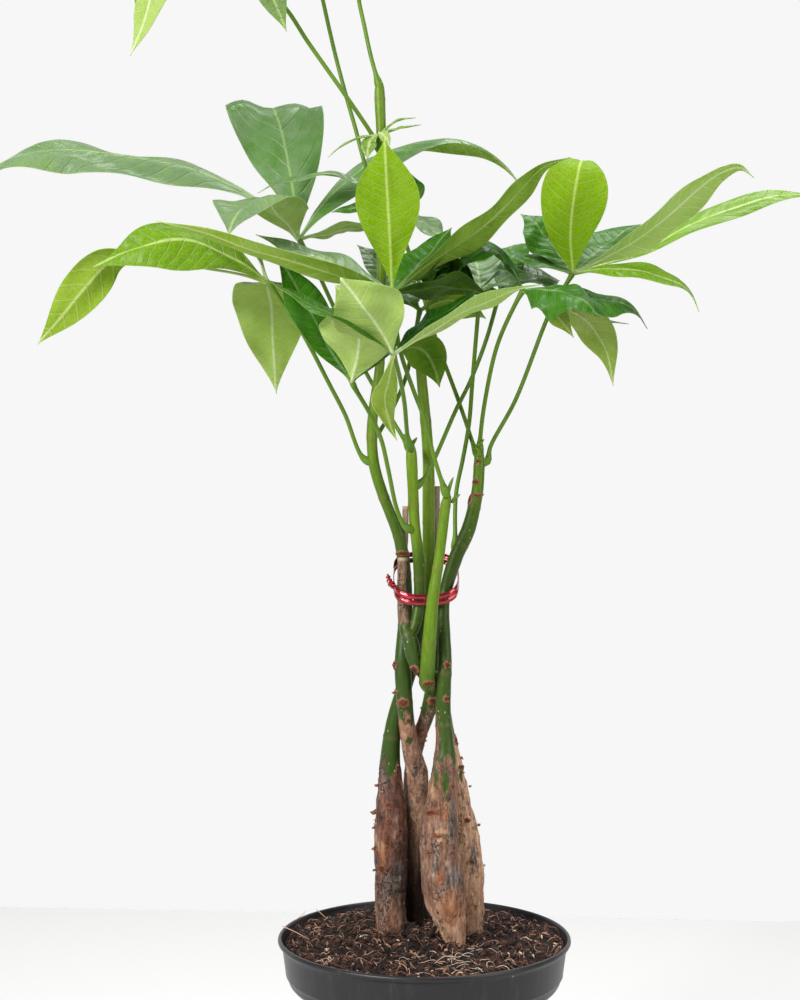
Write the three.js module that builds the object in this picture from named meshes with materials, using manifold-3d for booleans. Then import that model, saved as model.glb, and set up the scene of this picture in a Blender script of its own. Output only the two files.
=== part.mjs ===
// Money tree with braided trunks, standing in a plastic nursery pot.
// Millimetres, +Z up. The origin is on the floor, under the middle of the pot.
// +X is to the right and -Y is towards the viewer.
import * as THREE from 'three';
import { mergeVertices } from 'three/addons/utils/BufferGeometryUtils.js';
import Module from 'manifold-3d';

const wasm = await Module();
wasm.setup();

// Driving dimensions
const GAP = 0.3; // clearance between pieces that touch

const POT_HEIGHT = 150;
const POT_RIM_RADIUS = 85;
const POT_FLOOR = 2.4;
const POT_SIDES = 40;
const DRAIN_HOLES = 6;
const DRAIN_RING_RADIUS = 40;
const DRAIN_RADIUS = 4.5;

const SOIL_EDGE = 146; // height of the soil where it meets the pot
const SOIL_MOUND = 3; // how much higher it lies among the trunks
const SOIL_LUMP = 0.8;

const STEM_SIDES = 10;
const STALK_RADIUS = 1.5;
const STALK_SIDES = 5;
const HUB_RADIUS = 2.6;

const BLADE_THICK = 0.7;
const BLADE_STEP = 22; // length of one row of facets along a leaflet
const BLADE_ROOT_WIDTH = 1.8;
const BLADE_FOLD = 0.12; // rise of a margin over the midrib, as a share of the half width
const BLADE_PEAK = 0.57; // where a leaflet is widest, as a share of its length

const TIE_WIDTH = 2.8;
const TIE_THICK = 0.5;

// Colours
const POT_BLACK = 0x2f3032;
const SOIL_BROWN = 0x3a2a22;
const BARK_BROWN = 0x86684f;
const LEAF_GREEN = 0x5c9a34;
const TIE_RED = 0xc01030;

// The plant was measured as it looks from one point in front of it. A place is given by where it
// seems to lie in the plane of the trunks, across and up, and by how near it stands before that plane.
const EYE = new THREE.Vector3(-14.1, -936, 402.5);

function seen([across, up, near]) {
  const nearer = (-EYE.y - near) / -EYE.y;
  return new THREE.Vector3(EYE.x + (across - EYE.x) * nearer, -near, EYE.z + (up - EYE.z) * nearer);
}

// Turns a closed geometry into a solid that can be joined and cut.
function solid(geometry) {
  const bare = geometry.clone();
  bare.deleteAttribute('normal');
  bare.deleteAttribute('uv');
  const merged = mergeVertices(bare, 1e-4);
  return new wasm.Manifold(new wasm.Mesh({
    numProp: 3,
    vertProperties: new Float32Array(merged.attributes.position.array),
    triVerts: new Uint32Array(merged.index.array),
  }));
}

// Makes the named mesh of a finished solid.
function piece(name, body, colour, roughness, metalness = 0) {
  const { vertProperties, triVerts } = body.getMesh();
  const geometry = new THREE.BufferGeometry();
  geometry.setAttribute('position', new THREE.BufferAttribute(new Float32Array(vertProperties), 3));
  geometry.setIndex(new THREE.BufferAttribute(new Uint32Array(triVerts), 1));
  geometry.computeVertexNormals();
  const material = new THREE.MeshStandardMaterial({ color: colour, roughness, metalness });
  const mesh = new THREE.Mesh(geometry, material);
  mesh.name = name;
  return mesh;
}

// A round rod of changing radius: a cylinder bent along a smooth curve through the points.
// Each point is [across, up, near, radius]; grow widens the whole rod.
function rod(points, sides, steps, grow = 0) {
  const curve = new THREE.CatmullRomCurve3(points.map(seen));
  const lengths = curve.getLengths(points.length - 1);
  const total = lengths[lengths.length - 1];
  const radiusAt = (share) => {
    const run = share * total;
    let i = 1;
    while (i < lengths.length - 1 && lengths[i] < run) i += 1;
    const part = THREE.MathUtils.clamp((run - lengths[i - 1]) / (lengths[i] - lengths[i - 1]), 0, 1);
    const eased = THREE.MathUtils.smoothstep(part, 0, 1);
    return THREE.MathUtils.lerp(points[i - 1][3], points[i][3], eased) + grow;
  };
  const geometry = new THREE.CylinderGeometry(1, 1, 1, sides, steps);
  const position = geometry.attributes.position;
  const away = new THREE.Vector3(0, 1, 0);
  for (let i = 0; i < position.count; i += 1) {
    const share = position.getY(i) + 0.5;
    const along = curve.getTangentAt(share);
    const side = new THREE.Vector3().crossVectors(along, away).normalize();
    const depth = new THREE.Vector3().crossVectors(side, along);
    const radius = radiusAt(share);
    const place = curve.getPointAt(share)
      .addScaledVector(side, position.getX(i) * radius)
      .addScaledVector(depth, position.getZ(i) * radius);
    position.setXYZ(i, place.x, place.y, place.z);
  }
  return solid(geometry);
}

// Half width of a leaflet along its length, from 0 to 1: a long oval that ends in a drip tip.
function leafletWidth(share, peak) {
  const oval = Math.sin(Math.PI * share ** (Math.log(0.5) / Math.log(peak)));
  return oval * (1 - 0.65 * share ** 6);
}

// One thin leaflet, closed all round. Its midrib runs from the end of the stalk through the rib points.
// right is the direction across the blade, to the right of somebody who looks along it with the upper
// side up. It turns towards the direction tip between the two shares of the length in twist. Both faces
// are split into the same triangles.
function leaflet(start, plan) {
  const { rib, wide, right, tip = right, twist = [0, 1], fold = BLADE_FOLD, peak = BLADE_PEAK } = plan;
  const curve = new THREE.CatmullRomCurve3([start, ...rib].map(seen));
  const steps = THREE.MathUtils.clamp(Math.round(curve.getLength() / BLADE_STEP) + 1, 4, 9);
  const atBase = new THREE.Vector3(...right).normalize();
  const atTip = new THREE.Vector3(...tip).normalize();
  const corners = [];
  for (const face of [0.5, -0.5]) {
    for (let step = 0; step <= steps; step += 1) {
      const share = step / steps;
      const along = curve.getTangentAt(share);
      const across = atBase.clone().lerp(atTip, THREE.MathUtils.smoothstep(share, ...twist));
      across.addScaledVector(along, -across.dot(along)).normalize();
      const upper = new THREE.Vector3().crossVectors(across, along);
      const half = Math.max(wide / 2 * leafletWidth(share, peak), BLADE_ROOT_WIDTH / 2 * (1 - share), 0.3);
      for (const column of [-1, 0, 1]) {
        corners.push(curve.getPointAt(share)
          .addScaledVector(across, column * half)
          .addScaledVector(upper, Math.abs(column) * half * fold + face * BLADE_THICK));
      }
    }
  }
  const under = 3 * (steps + 1);
  const index = [];
  for (let step = 0; step < steps; step += 1) {
    for (let column = 0; column < 2; column += 1) {
      const a = 3 * step + column;
      const [b, c, d] = [a + 1, a + 3, a + 4];
      index.push(a, b, c, b, d, c);
      index.push(under + a, under + c, under + b, under + b, under + c, under + d);
    }
  }
  const last = 3 * steps;
  const edge = [0, 1, 2];
  for (let step = 1; step <= steps; step += 1) edge.push(3 * step + 2);
  edge.push(last + 1, last);
  for (let step = steps - 1; step > 0; step -= 1) edge.push(3 * step);
  edge.forEach((a, i) => {
    const b = edge[(i + 1) % edge.length];
    index.push(b, a, under + a, b, under + a, under + b);
  });
  const geometry = new THREE.BufferGeometry().setFromPoints(corners);
  geometry.setIndex(index);
  return solid(geometry);
}

// Inner face of the pot as [radius, height], from under the lip down to the floor
const POT_INSIDE = [
  [78.8, POT_HEIGHT - 16], [77.4, POT_HEIGHT - 22.4], [74.8, POT_HEIGHT - 26], [69.8, POT_HEIGHT - 30.8],
  [68.6, POT_HEIGHT - 36], [65.1, 88], [57, 4.4], [55, POT_FLOOR], [0, POT_FLOOR],
];

// Pot: a thin plastic nursery pot with a deep rim band, a rounded shoulder under it and drain holes.
function pot() {
  const r = POT_RIM_RADIUS;
  const h = POT_HEIGHT;
  const outside = [
    [0, 0], [54, 0], [58.4, 3], [66.5, 88], [70, h - 36], [71.4, h - 31], [76.6, h - 27.6],
    [79.2, h - 23.5], [80.4, h - 15], [82.4, h - 5.8], [r, h - 3], [r - 0.7, h - 0.4],
  ];
  const inside = [[r - 1.8, h], [r - 3.2, h - 2.6], ...POT_INSIDE];
  const profile = [...outside, ...inside].map(([radius, height]) => new THREE.Vector2(radius, height));
  const lathe = new THREE.LatheGeometry(profile, POT_SIDES).rotateX(Math.PI / 2);
  let body = solid(lathe);
  for (let i = 0; i < DRAIN_HOLES; i += 1) {
    const turn = 2 * Math.PI * i / DRAIN_HOLES;
    const drill = new THREE.CylinderGeometry(DRAIN_RADIUS, DRAIN_RADIUS, 4 * POT_FLOOR, 12);
    drill.rotateX(Math.PI / 2);
    drill.translate(DRAIN_RING_RADIUS * Math.cos(turn), DRAIN_RING_RADIUS * Math.sin(turn), 0);
    body = body.subtract(solid(drill));
  }
  return body;
}

// Soil: fills the pot to just under its rim, lumpy on top and a little higher among the trunks.
function soil(stems) {
  const wall = POT_INSIDE.map(([radius, height]) => [Math.max(radius - 1.5 * GAP, 0), height]).reverse();
  for (const corner of wall.slice(0, 3)) corner[1] += GAP;
  const rings = [80, 64, 46, 28, 12, 0];
  const profile = [...wall, ...rings.map((radius) => [radius, SOIL_EDGE])];
  const points = profile.map(([radius, height]) => new THREE.Vector2(radius, height));
  const lathe = new THREE.LatheGeometry(points, POT_SIDES).rotateX(Math.PI / 2);
  const position = lathe.attributes.position;
  for (let i = 0; i < position.count; i += 1) {
    if (position.getZ(i) > SOIL_EDGE - 1) {
      const [x, y] = [position.getX(i), position.getY(i)];
      const mound = SOIL_MOUND * Math.exp(-(((x - 5) / 42) ** 2) - ((y - 10) / 38) ** 2);
      const lumps = SOIL_LUMP * (Math.sin(0.21 * x + 1.3) * Math.cos(0.18 * y - 0.4)
        + 0.6 * Math.sin(0.43 * x - 0.37 * y));
      position.setZ(i, SOIL_EDGE + mound + lumps);
    }
  }
  let body = solid(lathe);
  for (const stem of stems) body = body.subtract(stem);
  return body;
}

// Trunks: five young trees braided round each other. Each is a swollen brown trunk that thins into a
// green stem; the branches and the dried stubs of cut shoots have grown from it and are one with it.
const TRUNKS = {
  trunk_left: [
    [[-18.5, 106, -20, 3.5], [-18.5, 146.5, -20, 8.8], [-19.5, 167, -20, 8.8], [-19.5, 187, -20, 9.5],
      [-19.5, 202.5, -19, 10], [-19.5, 225, -18, 8.4], [-20, 245.5, -17, 6.4], [-19, 263, -15, 5.2],
      [-16.5, 277.5, -13, 4.6], [-13, 289, -12, 4.5], [-8, 305, -12, 4.3], [-3.5, 321, -11, 4.1],
      [0.5, 344.5, -8, 3.7], [2.5, 374, -8, 3.6], [2.5, 404, -8, 3.6], [2.5, 424, -9, 3.4],
      [1, 446.5, -10, 3.2], [-2, 479.5, -12, 3], [-3, 501.5, -14, 2.6]],
  ],
  trunk_middle: [
    [[-6.5, 106, -31, 3.5], [-6, 152.5, -31, 5.5], [-5.5, 181.5, -31, 6], [-5, 204, -29, 6.2],
      [-4, 234, -22, 6.6], [-4, 242.5, -19, 6.5], [-8, 259.5, -10, 5.2], [-10.5, 275, -4, 4.7],
      [-11.5, 286, -1, 4.7], [-12.5, 306.5, 0, 4.8], [-12, 321, -2, 4.2], [-10.5, 344.5, -9, 3.8],
      [-12.5, 370.5, -8, 3.7], [-15, 382.5, -7, 3.5], [-19.5, 394, -6, 3.2], [-24.5, 407, -5, 3.2],
      [-29, 422.5, -5, 3.2], [-30.5, 438.5, -5, 3.1], [-29.5, 455, -4, 3], [-26, 479.5, -4, 2.8],
      [-25, 519, -4, 2.7], [-25, 577, -4, 2.7], [-25, 612, -3, 2.8], [-26, 641, -3, 2.9],
      [-26, 645.5, -3, 2]],
    [[-12.5, 366.5, -9, 2.4], [-11, 385, -9, 1.9], [-11, 399, -9, 1.7]],
  ],
  trunk_front: [
    [[19, 106, 13, 3.5], [18, 145.5, 12, 5.8], [15.5, 157.5, 12, 8.8], [12, 171, 12, 11.6],
      [10, 186, 12, 11.8], [9, 204, 12, 10.9], [10, 225, 11, 9.3], [12, 246.5, 10, 7.2],
      [12, 260, 9, 5.4], [11, 277.5, 8, 4.5], [11.5, 295, 8, 4.1], [12, 309.5, 7, 4],
      [11.5, 324, 5, 3.7], [11.5, 344.5, 2, 3.5], [18.5, 369.5, 2, 4.1], [25.5, 385, 2, 4.1],
      [28.5, 396, 2, 3.8], [31, 408.5, 2, 3.4], [32, 423, 2, 3.2], [32, 430.5, 2, 2.6]],
  ],
  trunk_right: [
    [[25, 106, -8, 3.5], [25.5, 148, -8, 8.4], [25, 168, -8, 9.8], [24, 190.5, -8, 10],
      [22.5, 208, -9, 9], [19, 229, -11, 7.6], [16.5, 247.5, -13, 6], [13.5, 264, -16, 4.8],
      [10.5, 286, -19, 4], [8.5, 315, -18, 3.2], [7.5, 344.5, -11, 2.6], [7, 367.5, -12.4, 2.2],
      [7, 410.5, -14, 2.2]],
  ],
  trunk_back: [
    [[-2, 106, -45, 3.5], [-2, 152.5, -45, 5], [-3.5, 181.5, -45, 5.4], [-6, 210.5, -43, 5.2],
      [-7.5, 234, -37, 4.9], [-6.5, 248.5, -29, 4.6], [-4, 261.5, -22, 4.3], [1, 275.5, -12, 4.2],
      [4.5, 288, -5, 4.8], [6, 298, -3, 4.4], [5, 302.5, -3, 3]],
    [[3.5, 292, -3, 3.4], [1.5, 296.5, 6, 4.4], [2, 306.5, 13, 4.3], [3, 321, 16, 4],
      [5, 344.5, 18, 3.4], [8.5, 367.5, 18, 2.9], [11, 387.5, 19, 2.9], [12.5, 400, 20, 2.8],
      [13.5, 405, 21, 2.3]],
    [[4, 296.5, -3, 3.4], [0, 301.5, 5, 3.8], [-5.5, 309.5, 10, 4.4], [-8, 320, 11, 4.6],
      [-11, 329, 8, 3.8], [-12.5, 344.5, 2, 3.2], [-12.5, 369, 1, 3]],
    [[-10.5, 321, 11, 3], [-6, 328, 9, 3.2], [-3, 344.5, 5, 3.2], [-3.5, 370.5, 5, 3.3],
      [-5.5, 387.5, 6, 3.1], [-6.5, 407, 8, 3.1], [-7.5, 431, 10, 2.9], [-7.5, 434, 10, 2]],
  ],
};

function trunk(branches, grow = 0) {
  const rods = branches.map((points) => rod(points, STEM_SIDES, points.length, grow));
  return rods.reduce((whole, branch) => whole.add(branch));
}

// Tie: a flat red foil tie wound twice round the stems, lower in front than behind, with its ends
// twisted together on the left.
const TIE_MIDDLE = [1.1, 2.5];
const TIE_HALF = [18.8, 12.9];
const TIE_FRONT_HEIGHT = 342.5;
const TIE_SLOPE = 0.85; // rise per millimetre towards the back
const TIE_TURNS = 2;
const TIE_PITCH = 3.4;
const TIE_STEPS = 48;

function tie() {
  // A squared oval, so that the ribbon lies close to the stems at the corners of the bundle
  const squared = (value) => Math.sign(value) * Math.abs(value) ** (2 / 3);
  const route = (share) => {
    const turn = Math.PI * (1 + 2 * TIE_TURNS * share * 0.985 + 0.02);
    const x = TIE_MIDDLE[0] + TIE_HALF[0] * squared(Math.cos(turn));
    const y = TIE_MIDDLE[1] + TIE_HALF[1] * squared(Math.sin(turn));
    const climb = TIE_SLOPE * (y - TIE_MIDDLE[1] + TIE_HALF[1]);
    const z = TIE_FRONT_HEIGHT + climb + TIE_PITCH * share * TIE_TURNS;
    return new THREE.Vector3(x, y, z);
  };
  const strip = new THREE.BoxGeometry(TIE_THICK, 1, TIE_WIDTH, 1, TIE_STEPS, 1);
  const position = strip.attributes.position;
  for (let i = 0; i < position.count; i += 1) {
    const share = position.getY(i) + 0.5;
    const along = route(Math.min(share + 0.001, 1)).sub(route(Math.max(share - 0.001, 0))).normalize();
    const out = new THREE.Vector3().crossVectors(along, new THREE.Vector3(0, 0, 1)).normalize();
    const up = new THREE.Vector3().crossVectors(out, along).normalize();
    const place = route(share)
      .addScaledVector(out, position.getX(i))
      .addScaledVector(up, position.getZ(i));
    position.setXYZ(i, place.x, place.y, place.z);
  }
  const twist = [[-17.2, 352, 0, 1.6], [-19, 353.5, 2, 1.9], [-20.4, 356, 3, 1.4], [-21.4, 359.5, 3, 0.7]];
  return solid(strip).add(rod(twist, 6, 6));
}

// Leaves: each is a stalk with leaflets that spread from its end like fingers. A stalk starts inside
// the stem that it grows from and is cut clear of it.
const LEAVES = {
  leaf_middle: {
    on: 'trunk_back',
    stalk: [[13.5, 404, 22], [11.5, 409.5, 24], [6, 426.5, 30], [-0.5, 451, 36], [-6.5, 467, 41],
      [-13.5, 487.5, 48], [-17, 507, 54], [-18.5, 523.5, 58]],
    blades: [
      { rib: [[-20, 554, 66], [-22, 589, 74], [-23, 613, 76]], wide: 36, right: [-1, 0, 0.05], peak: 0.62 },
      { rib: [[5, 542, 50], [33, 561, 42], [56, 583, 38], [69, 596, 36], [85, 602, 34]], wide: 28,
        right: [-0.34, -0.9, 0.26], fold: 0 },
      { rib: [[-41, 535, 50], [-59, 542, 45], [-78, 549, 42], [-98, 557, 40]], wide: 34,
        right: [0.17, 0.9, 0.42] },
      { rib: [[-55, 535, 72], [-95, 547, 84], [-131, 559, 92], [-156, 565, 96]], wide: 22,
        right: [-0.23, 0.92, -0.29], peak: 0.45 },
      { rib: [[-5, 537, 40], [8, 552, 24], [16, 561, 15]], wide: 30, right: [0.69, -0.62, -0.24] },
      { rib: [[3, 526, 48], [24, 526, 40], [38, 521, 36]], wide: 34, right: [0.1, -0.97, 0.25] },
    ],
  },
  leaf_front: {
    on: 'trunk_back',
    stalk: [[-7.5, 431.5, 12], [-9.5, 438.5, 18], [-11.5, 459, 40], [-14.5, 475, 62], [-18, 488, 82]],
    blades: [
      { rib: [[-26, 502, 92], [-36, 516, 104], [-49, 532, 112]], wide: 40, right: [-0.9, 0.25, -0.36] },
      { rib: [[-38, 503, 92], [-63, 515, 94], [-80, 524, 92], [-90, 530, 88]], wide: 26,
        right: [0.15, 0.9, 0.25] },
      { rib: [[-4, 501, 80], [11, 511, 78], [31, 524, 74]], wide: 30, right: [0.235, -0.925, -0.27] },
      { rib: [[9, 504, 92], [33, 517, 100], [53, 525, 106], [69, 528, 108]], wide: 22,
        right: [-0.235, -0.95, 0.17] },
      { rib: [[-7, 492, 72], [1, 488, 64], [6, 479, 60], [9, 468, 58]], wide: 22,
        right: [0.75, -0.1, 0.65] },
      { rib: [[-21, 473, 74], [-23, 460, 70], [-20, 446, 70], [-16, 437, 72]], wide: 20,
        right: [0.6, 0.8, 0] },
    ],
  },
  leaf_lower_left: {
    on: 'trunk_back',
    stalk: [[-5.5, 384.5, 6], [-11.5, 387.5, 10], [-16, 397.5, 14], [-21, 420.5, 26], [-25, 437.5, 36],
      [-31.5, 452.5, 48], [-40, 467, 60], [-42, 471, 62]],
    blades: [
      { rib: [[-38, 496, 70], [-42, 516, 76], [-52, 528, 78]], wide: 44, right: [-1, 0.1, 0] },
      { rib: [[-55, 490, 52], [-68, 515, 46], [-77, 531, 42], [-86, 545, 38]], wide: 26,
        right: [0.8, 0.55, 0.38] },
      { rib: [[-33, 490, 40], [-27, 508, 24], [-23, 519, 14]], wide: 30, right: [0.95, 0.2, 0.1] },
    ],
  },
  leaf_left: {
    on: 'trunk_middle',
    stalk: [[-29.5, 423.5, -5], [-36, 427.5, -5], [-46, 452, 6], [-55, 469.5, 16], [-72, 501.5, 34],
      [-91, 529.5, 45]],
    blades: [
      { rib: [[-91, 527, 24], [-89, 515, 2], [-88, 493, -6], [-86, 464, -8]], wide: 44, right: [1, 0, 0],
        fold: 0.1, peak: 0.42 },
      { rib: [[-107, 534, 46], [-127.5, 537.5, 48], [-148, 541, 50], [-168, 544, 50], [-183, 541, 50],
        [-197.5, 526, 49], [-212, 508, 48], [-225, 493, 48]], wide: 26, right: [0, 0.97, -0.2],
        tip: [0.7, 0.3, -0.62], twist: [0.42, 0.74], peak: 0.74 },
      { rib: [[-107, 541, 56], [-127, 551, 66], [-151, 553, 70], [-173, 547, 70], [-193, 538, 66]],
        wide: 34, right: [0.1, 0.5, 0.85], fold: -0.1 },
      { rib: [[-97, 545, 48], [-107, 552, 50], [-122, 551, 52], [-136, 540, 52]], wide: 14,
        right: [0.1, 0.9, 0.35] },
    ],
  },
  leaf_upper_left: {
    on: 'trunk_back',
    stalk: [[-7.5, 430.5, 6], [-14, 441.5, -4], [-20, 451.5, -9], [-26, 463, -12], [-33, 475, -13],
      [-49, 507, -14], [-65, 541, -13], [-73, 554.5, -10]],
    blades: [
      { rib: [[-76, 580, -22], [-82, 612, -44], [-88, 631, -62], [-88, 628, -82], [-86, 606, -98],
        [-83, 575, -104]], wide: 60, right: [1, 0, 0] },
      { rib: [[-97, 577, -4], [-116, 587.5, 0], [-136, 595.5, 3], [-159.5, 599.5, 6], [-180, 603, 8],
        [-203, 607.5, 10], [-218, 607.5, 12], [-234, 604, 13], [-250, 596, 13], [-262, 584, 12],
        [-269, 568, 10]], wide: 38, right: [0, 0.82, 0.57], fold: -0.2, peak: 0.6 },
      { rib: [[-83, 568, 12], [-94, 576, 36], [-104, 574, 54], [-111, 565, 64], [-114, 556, 68]], wide: 54,
        right: [-0.85, 0.45, 0.05] },
      { rib: [[-61, 572, -22], [-43, 590, -32], [-17, 606, -40], [8, 613, -46], [33, 607, -50],
        [47, 597, -52], [58, 583, -54]], wide: 36, right: [0, -0.78, -0.62], tip: [0.15, -0.97, 0.1],
        twist: [0.35, 0.8], fold: -0.2, peak: 0.5 },
      { rib: [[-57, 558, -14], [-39, 561, -18], [-23, 562, -22]], wide: 30, right: [0, -1, 0.05] },
    ],
  },
  leaf_inner: {
    on: 'trunk_front',
    stalk: [[18, 372, 0], [18.5, 406, -4], [22.5, 426.5, -4], [26, 446.5, -2], [28, 471, 2],
      [30, 495.5, 6], [32.5, 524.5, 8]],
    blades: [
      { rib: [[18, 533, 10], [2, 537, 12], [-11, 533, 14]], wide: 38, right: [0, 0.85, -0.5] },
      { rib: [[31, 537, -6], [27, 547, -18], [18, 554, -30]], wide: 32, right: [0.95, 0.2, 0.1] },
      { rib: [[44, 530, 2], [56, 534, -2], [66, 533, -6]], wide: 24, right: [0.2, -0.85, -0.45] },
      { rib: [[21, 531, 20], [10, 534, 26], [2, 524, 28]], wide: 18, right: [0.1, 0.9, 0.35] },
    ],
  },
  leaf_right: {
    on: 'trunk_front',
    stalk: [[32, 424.5, 2], [36.5, 425, 1], [38.5, 433.5, 0], [53, 460.5, 0], [73.5, 512.5, 0],
      [82, 527, 0], [86.5, 534.5, 0]],
    blades: [
      { rib: [[85, 557, 6], [87, 578, 8], [90, 595, 4], [92, 600, -8], [94, 596, -20]], wide: 39,
        right: [-1, 0, 0.1], fold: 0.08, peak: 0.52 },
      { rib: [[118, 551, 8], [139, 566, 12], [158, 583, 14], [173, 593, 14], [184, 596, 13],
        [192, 590, 12]], wide: 28, right: [-0.35, -0.82, 0.43], fold: -0.12 },
      { rib: [[126, 547, -10], [155, 562, -16], [181, 573, -20], [203, 579, -22], [229, 580, -24]],
        wide: 30, right: [0.05, -0.85, -0.52], peak: 0.66 },
      { rib: [[108, 537, 14], [131, 534, 24], [149, 528, 30], [156, 521, 32], [160, 512, 33]], wide: 24,
        right: [0.1, -0.83, -0.5], peak: 0.6 },
      { rib: [[74, 551, -12], [65, 563, -18], [56, 569, -22]], wide: 34, right: [0.725, 0.54, 0.39] },
      { rib: [[70, 540, -4], [56, 544, -6], [41, 548, -8]], wide: 28, right: [0.1, 0.9, 0.4] },
      { rib: [[80, 550, -22], [71, 562, -34], [63, 566, -44]], wide: 28, right: [0.3, 0.85, 0.4] },
      { rib: [[102, 548, -26], [115, 558, -44], [126, 563, -58]], wide: 46, right: [0.6, -0.7, -0.3] },
    ],
  },
  leaf_lower_right: {
    on: 'trunk_front',
    stalk: [[32, 428, 2], [32.5, 437.5, 2], [35, 458, 6], [42.5, 492.5, 14], [53.5, 517.5, 20],
      [57.5, 524.5, 22]],
    blades: [
      { rib: [[72, 525, 36], [89, 521, 46], [102, 509, 50]], wide: 44, right: [-0.2, -0.85, -0.5],
        fold: -0.2 },
      { rib: [[79, 523, 18], [99, 519, 17], [115, 517, 16], [124, 511, 15], [130, 502, 14]], wide: 32,
        right: [0, -0.85, -0.5], fold: 0 },
      { rib: [[77, 517, 14], [97, 504, 10], [106, 490, 8], [110, 469, 8]], wide: 28,
        right: [0.5, -0.8, 0.2] },
      { rib: [[70, 517, 24], [79, 508, 24], [87, 497, 24]], wide: 14, right: [0.6, -0.7, 0.4] },
      { rib: [[49, 540, 24], [38, 548, 30], [26, 542, 35], [17, 532, 38]], wide: 30,
        right: [0.1, 0.88, 0.45] },
      { rib: [[88, 512, 4], [105, 507, 0], [119, 505, -2]], wide: 10, right: [0, -0.85, -0.4] },
    ],
  },
  leaf_behind: {
    on: 'trunk_front',
    stalk: [[32, 427, 0], [29, 433.5, -4], [24, 448.5, -8], [19.5, 461.5, -10], [14.5, 475, -12],
      [8, 492.5, -15], [-2.5, 527.5, -19], [-16.5, 568.5, -22]],
    blades: [
      { rib: [[-34, 585, -14], [-55, 592, -6], [-73, 590, -4], [-88, 586, -2], [-97, 581, 0]], wide: 16,
        right: [0, 0.93, 0.35] },
      { rib: [[-29, 572, -19], [-42, 572, -17], [-54, 570, -15]], wide: 18, right: [0, 0.8, 0.5] },
      { rib: [[-2, 564, -18], [7, 558, -14], [15, 553, -12]], wide: 30, right: [0.2, -0.8, -0.55] },
      { rib: [[-14, 583, -34], [-12, 597, -46]], wide: 30, right: [0.9, 0.3, 0.2] },
    ],
  },
  leaf_inner_right: {
    on: 'trunk_back',
    stalk: [[-6.5, 409, 8], [0, 415, 4], [6, 426.5, 2], [18.5, 455, -6], [26.5, 471, -8],
      [36, 495.5, -8], [44, 523.5, -8]],
    blades: [
      { rib: [[56, 531, -16], [70, 533, -26], [79, 530, -34]], wide: 36, right: [0.2, -0.85, -0.45] },
      { rib: [[47, 541, -24], [50, 549, -40], [53, 551, -56]], wide: 28, right: [0.9, 0.2, 0.3] },
      { rib: [[27, 529, -20], [12, 528, -27], [1, 524, -31]], wide: 22, right: [0, 0.85, -0.4] },
    ],
  },
  leaf_inner_left: {
    on: 'trunk_middle',
    stalk: [[-30.5, 439.5, -5], [-26, 442.5, -12], [-11.5, 471.5, -20], [-5.5, 498.5, -26],
      [-2.5, 513, -28]],
    blades: [
      { rib: [[-14, 528, -36], [-27, 541, -42], [-39, 551, -46]], wide: 34, right: [0.5, 0.75, 0.4] },
      { rib: [[12, 519, -32], [27, 514, -34], [36, 508, -34]], wide: 30, right: [0, -0.85, 0.5] },
      { rib: [[-10, 519, -14], [-11, 520, 0], [-8, 517, 14]], wide: 18, right: [-0.95, -0.1, 0.1] },
    ],
  },
  leaf_top_left: {
    on: 'trunk_middle',
    stalk: [[-25.5, 605, -3], [-29.5, 613.5, 0], [-45.5, 637.5, 6], [-68, 669.5, 10], [-79, 686.5, 12],
      [-98.5, 709.5, 12], [-123, 729.5, 10]],
    blades: [
      { rib: [[-141, 724, 20], [-154, 706, 26], [-162, 683, 28], [-171, 661, 28]], wide: 26,
        right: [0.8, -0.5, 0.1] },
      { rib: [[-139, 728, 0], [-154, 717, -6], [-162, 699, -8], [-168, 682, -8]], wide: 28,
        right: [0.6, 0.7, 0] },
      { rib: [[-107, 724, 24], [-94, 710, 30], [-87, 692, 30], [-80, 675, 30]], wide: 26,
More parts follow.
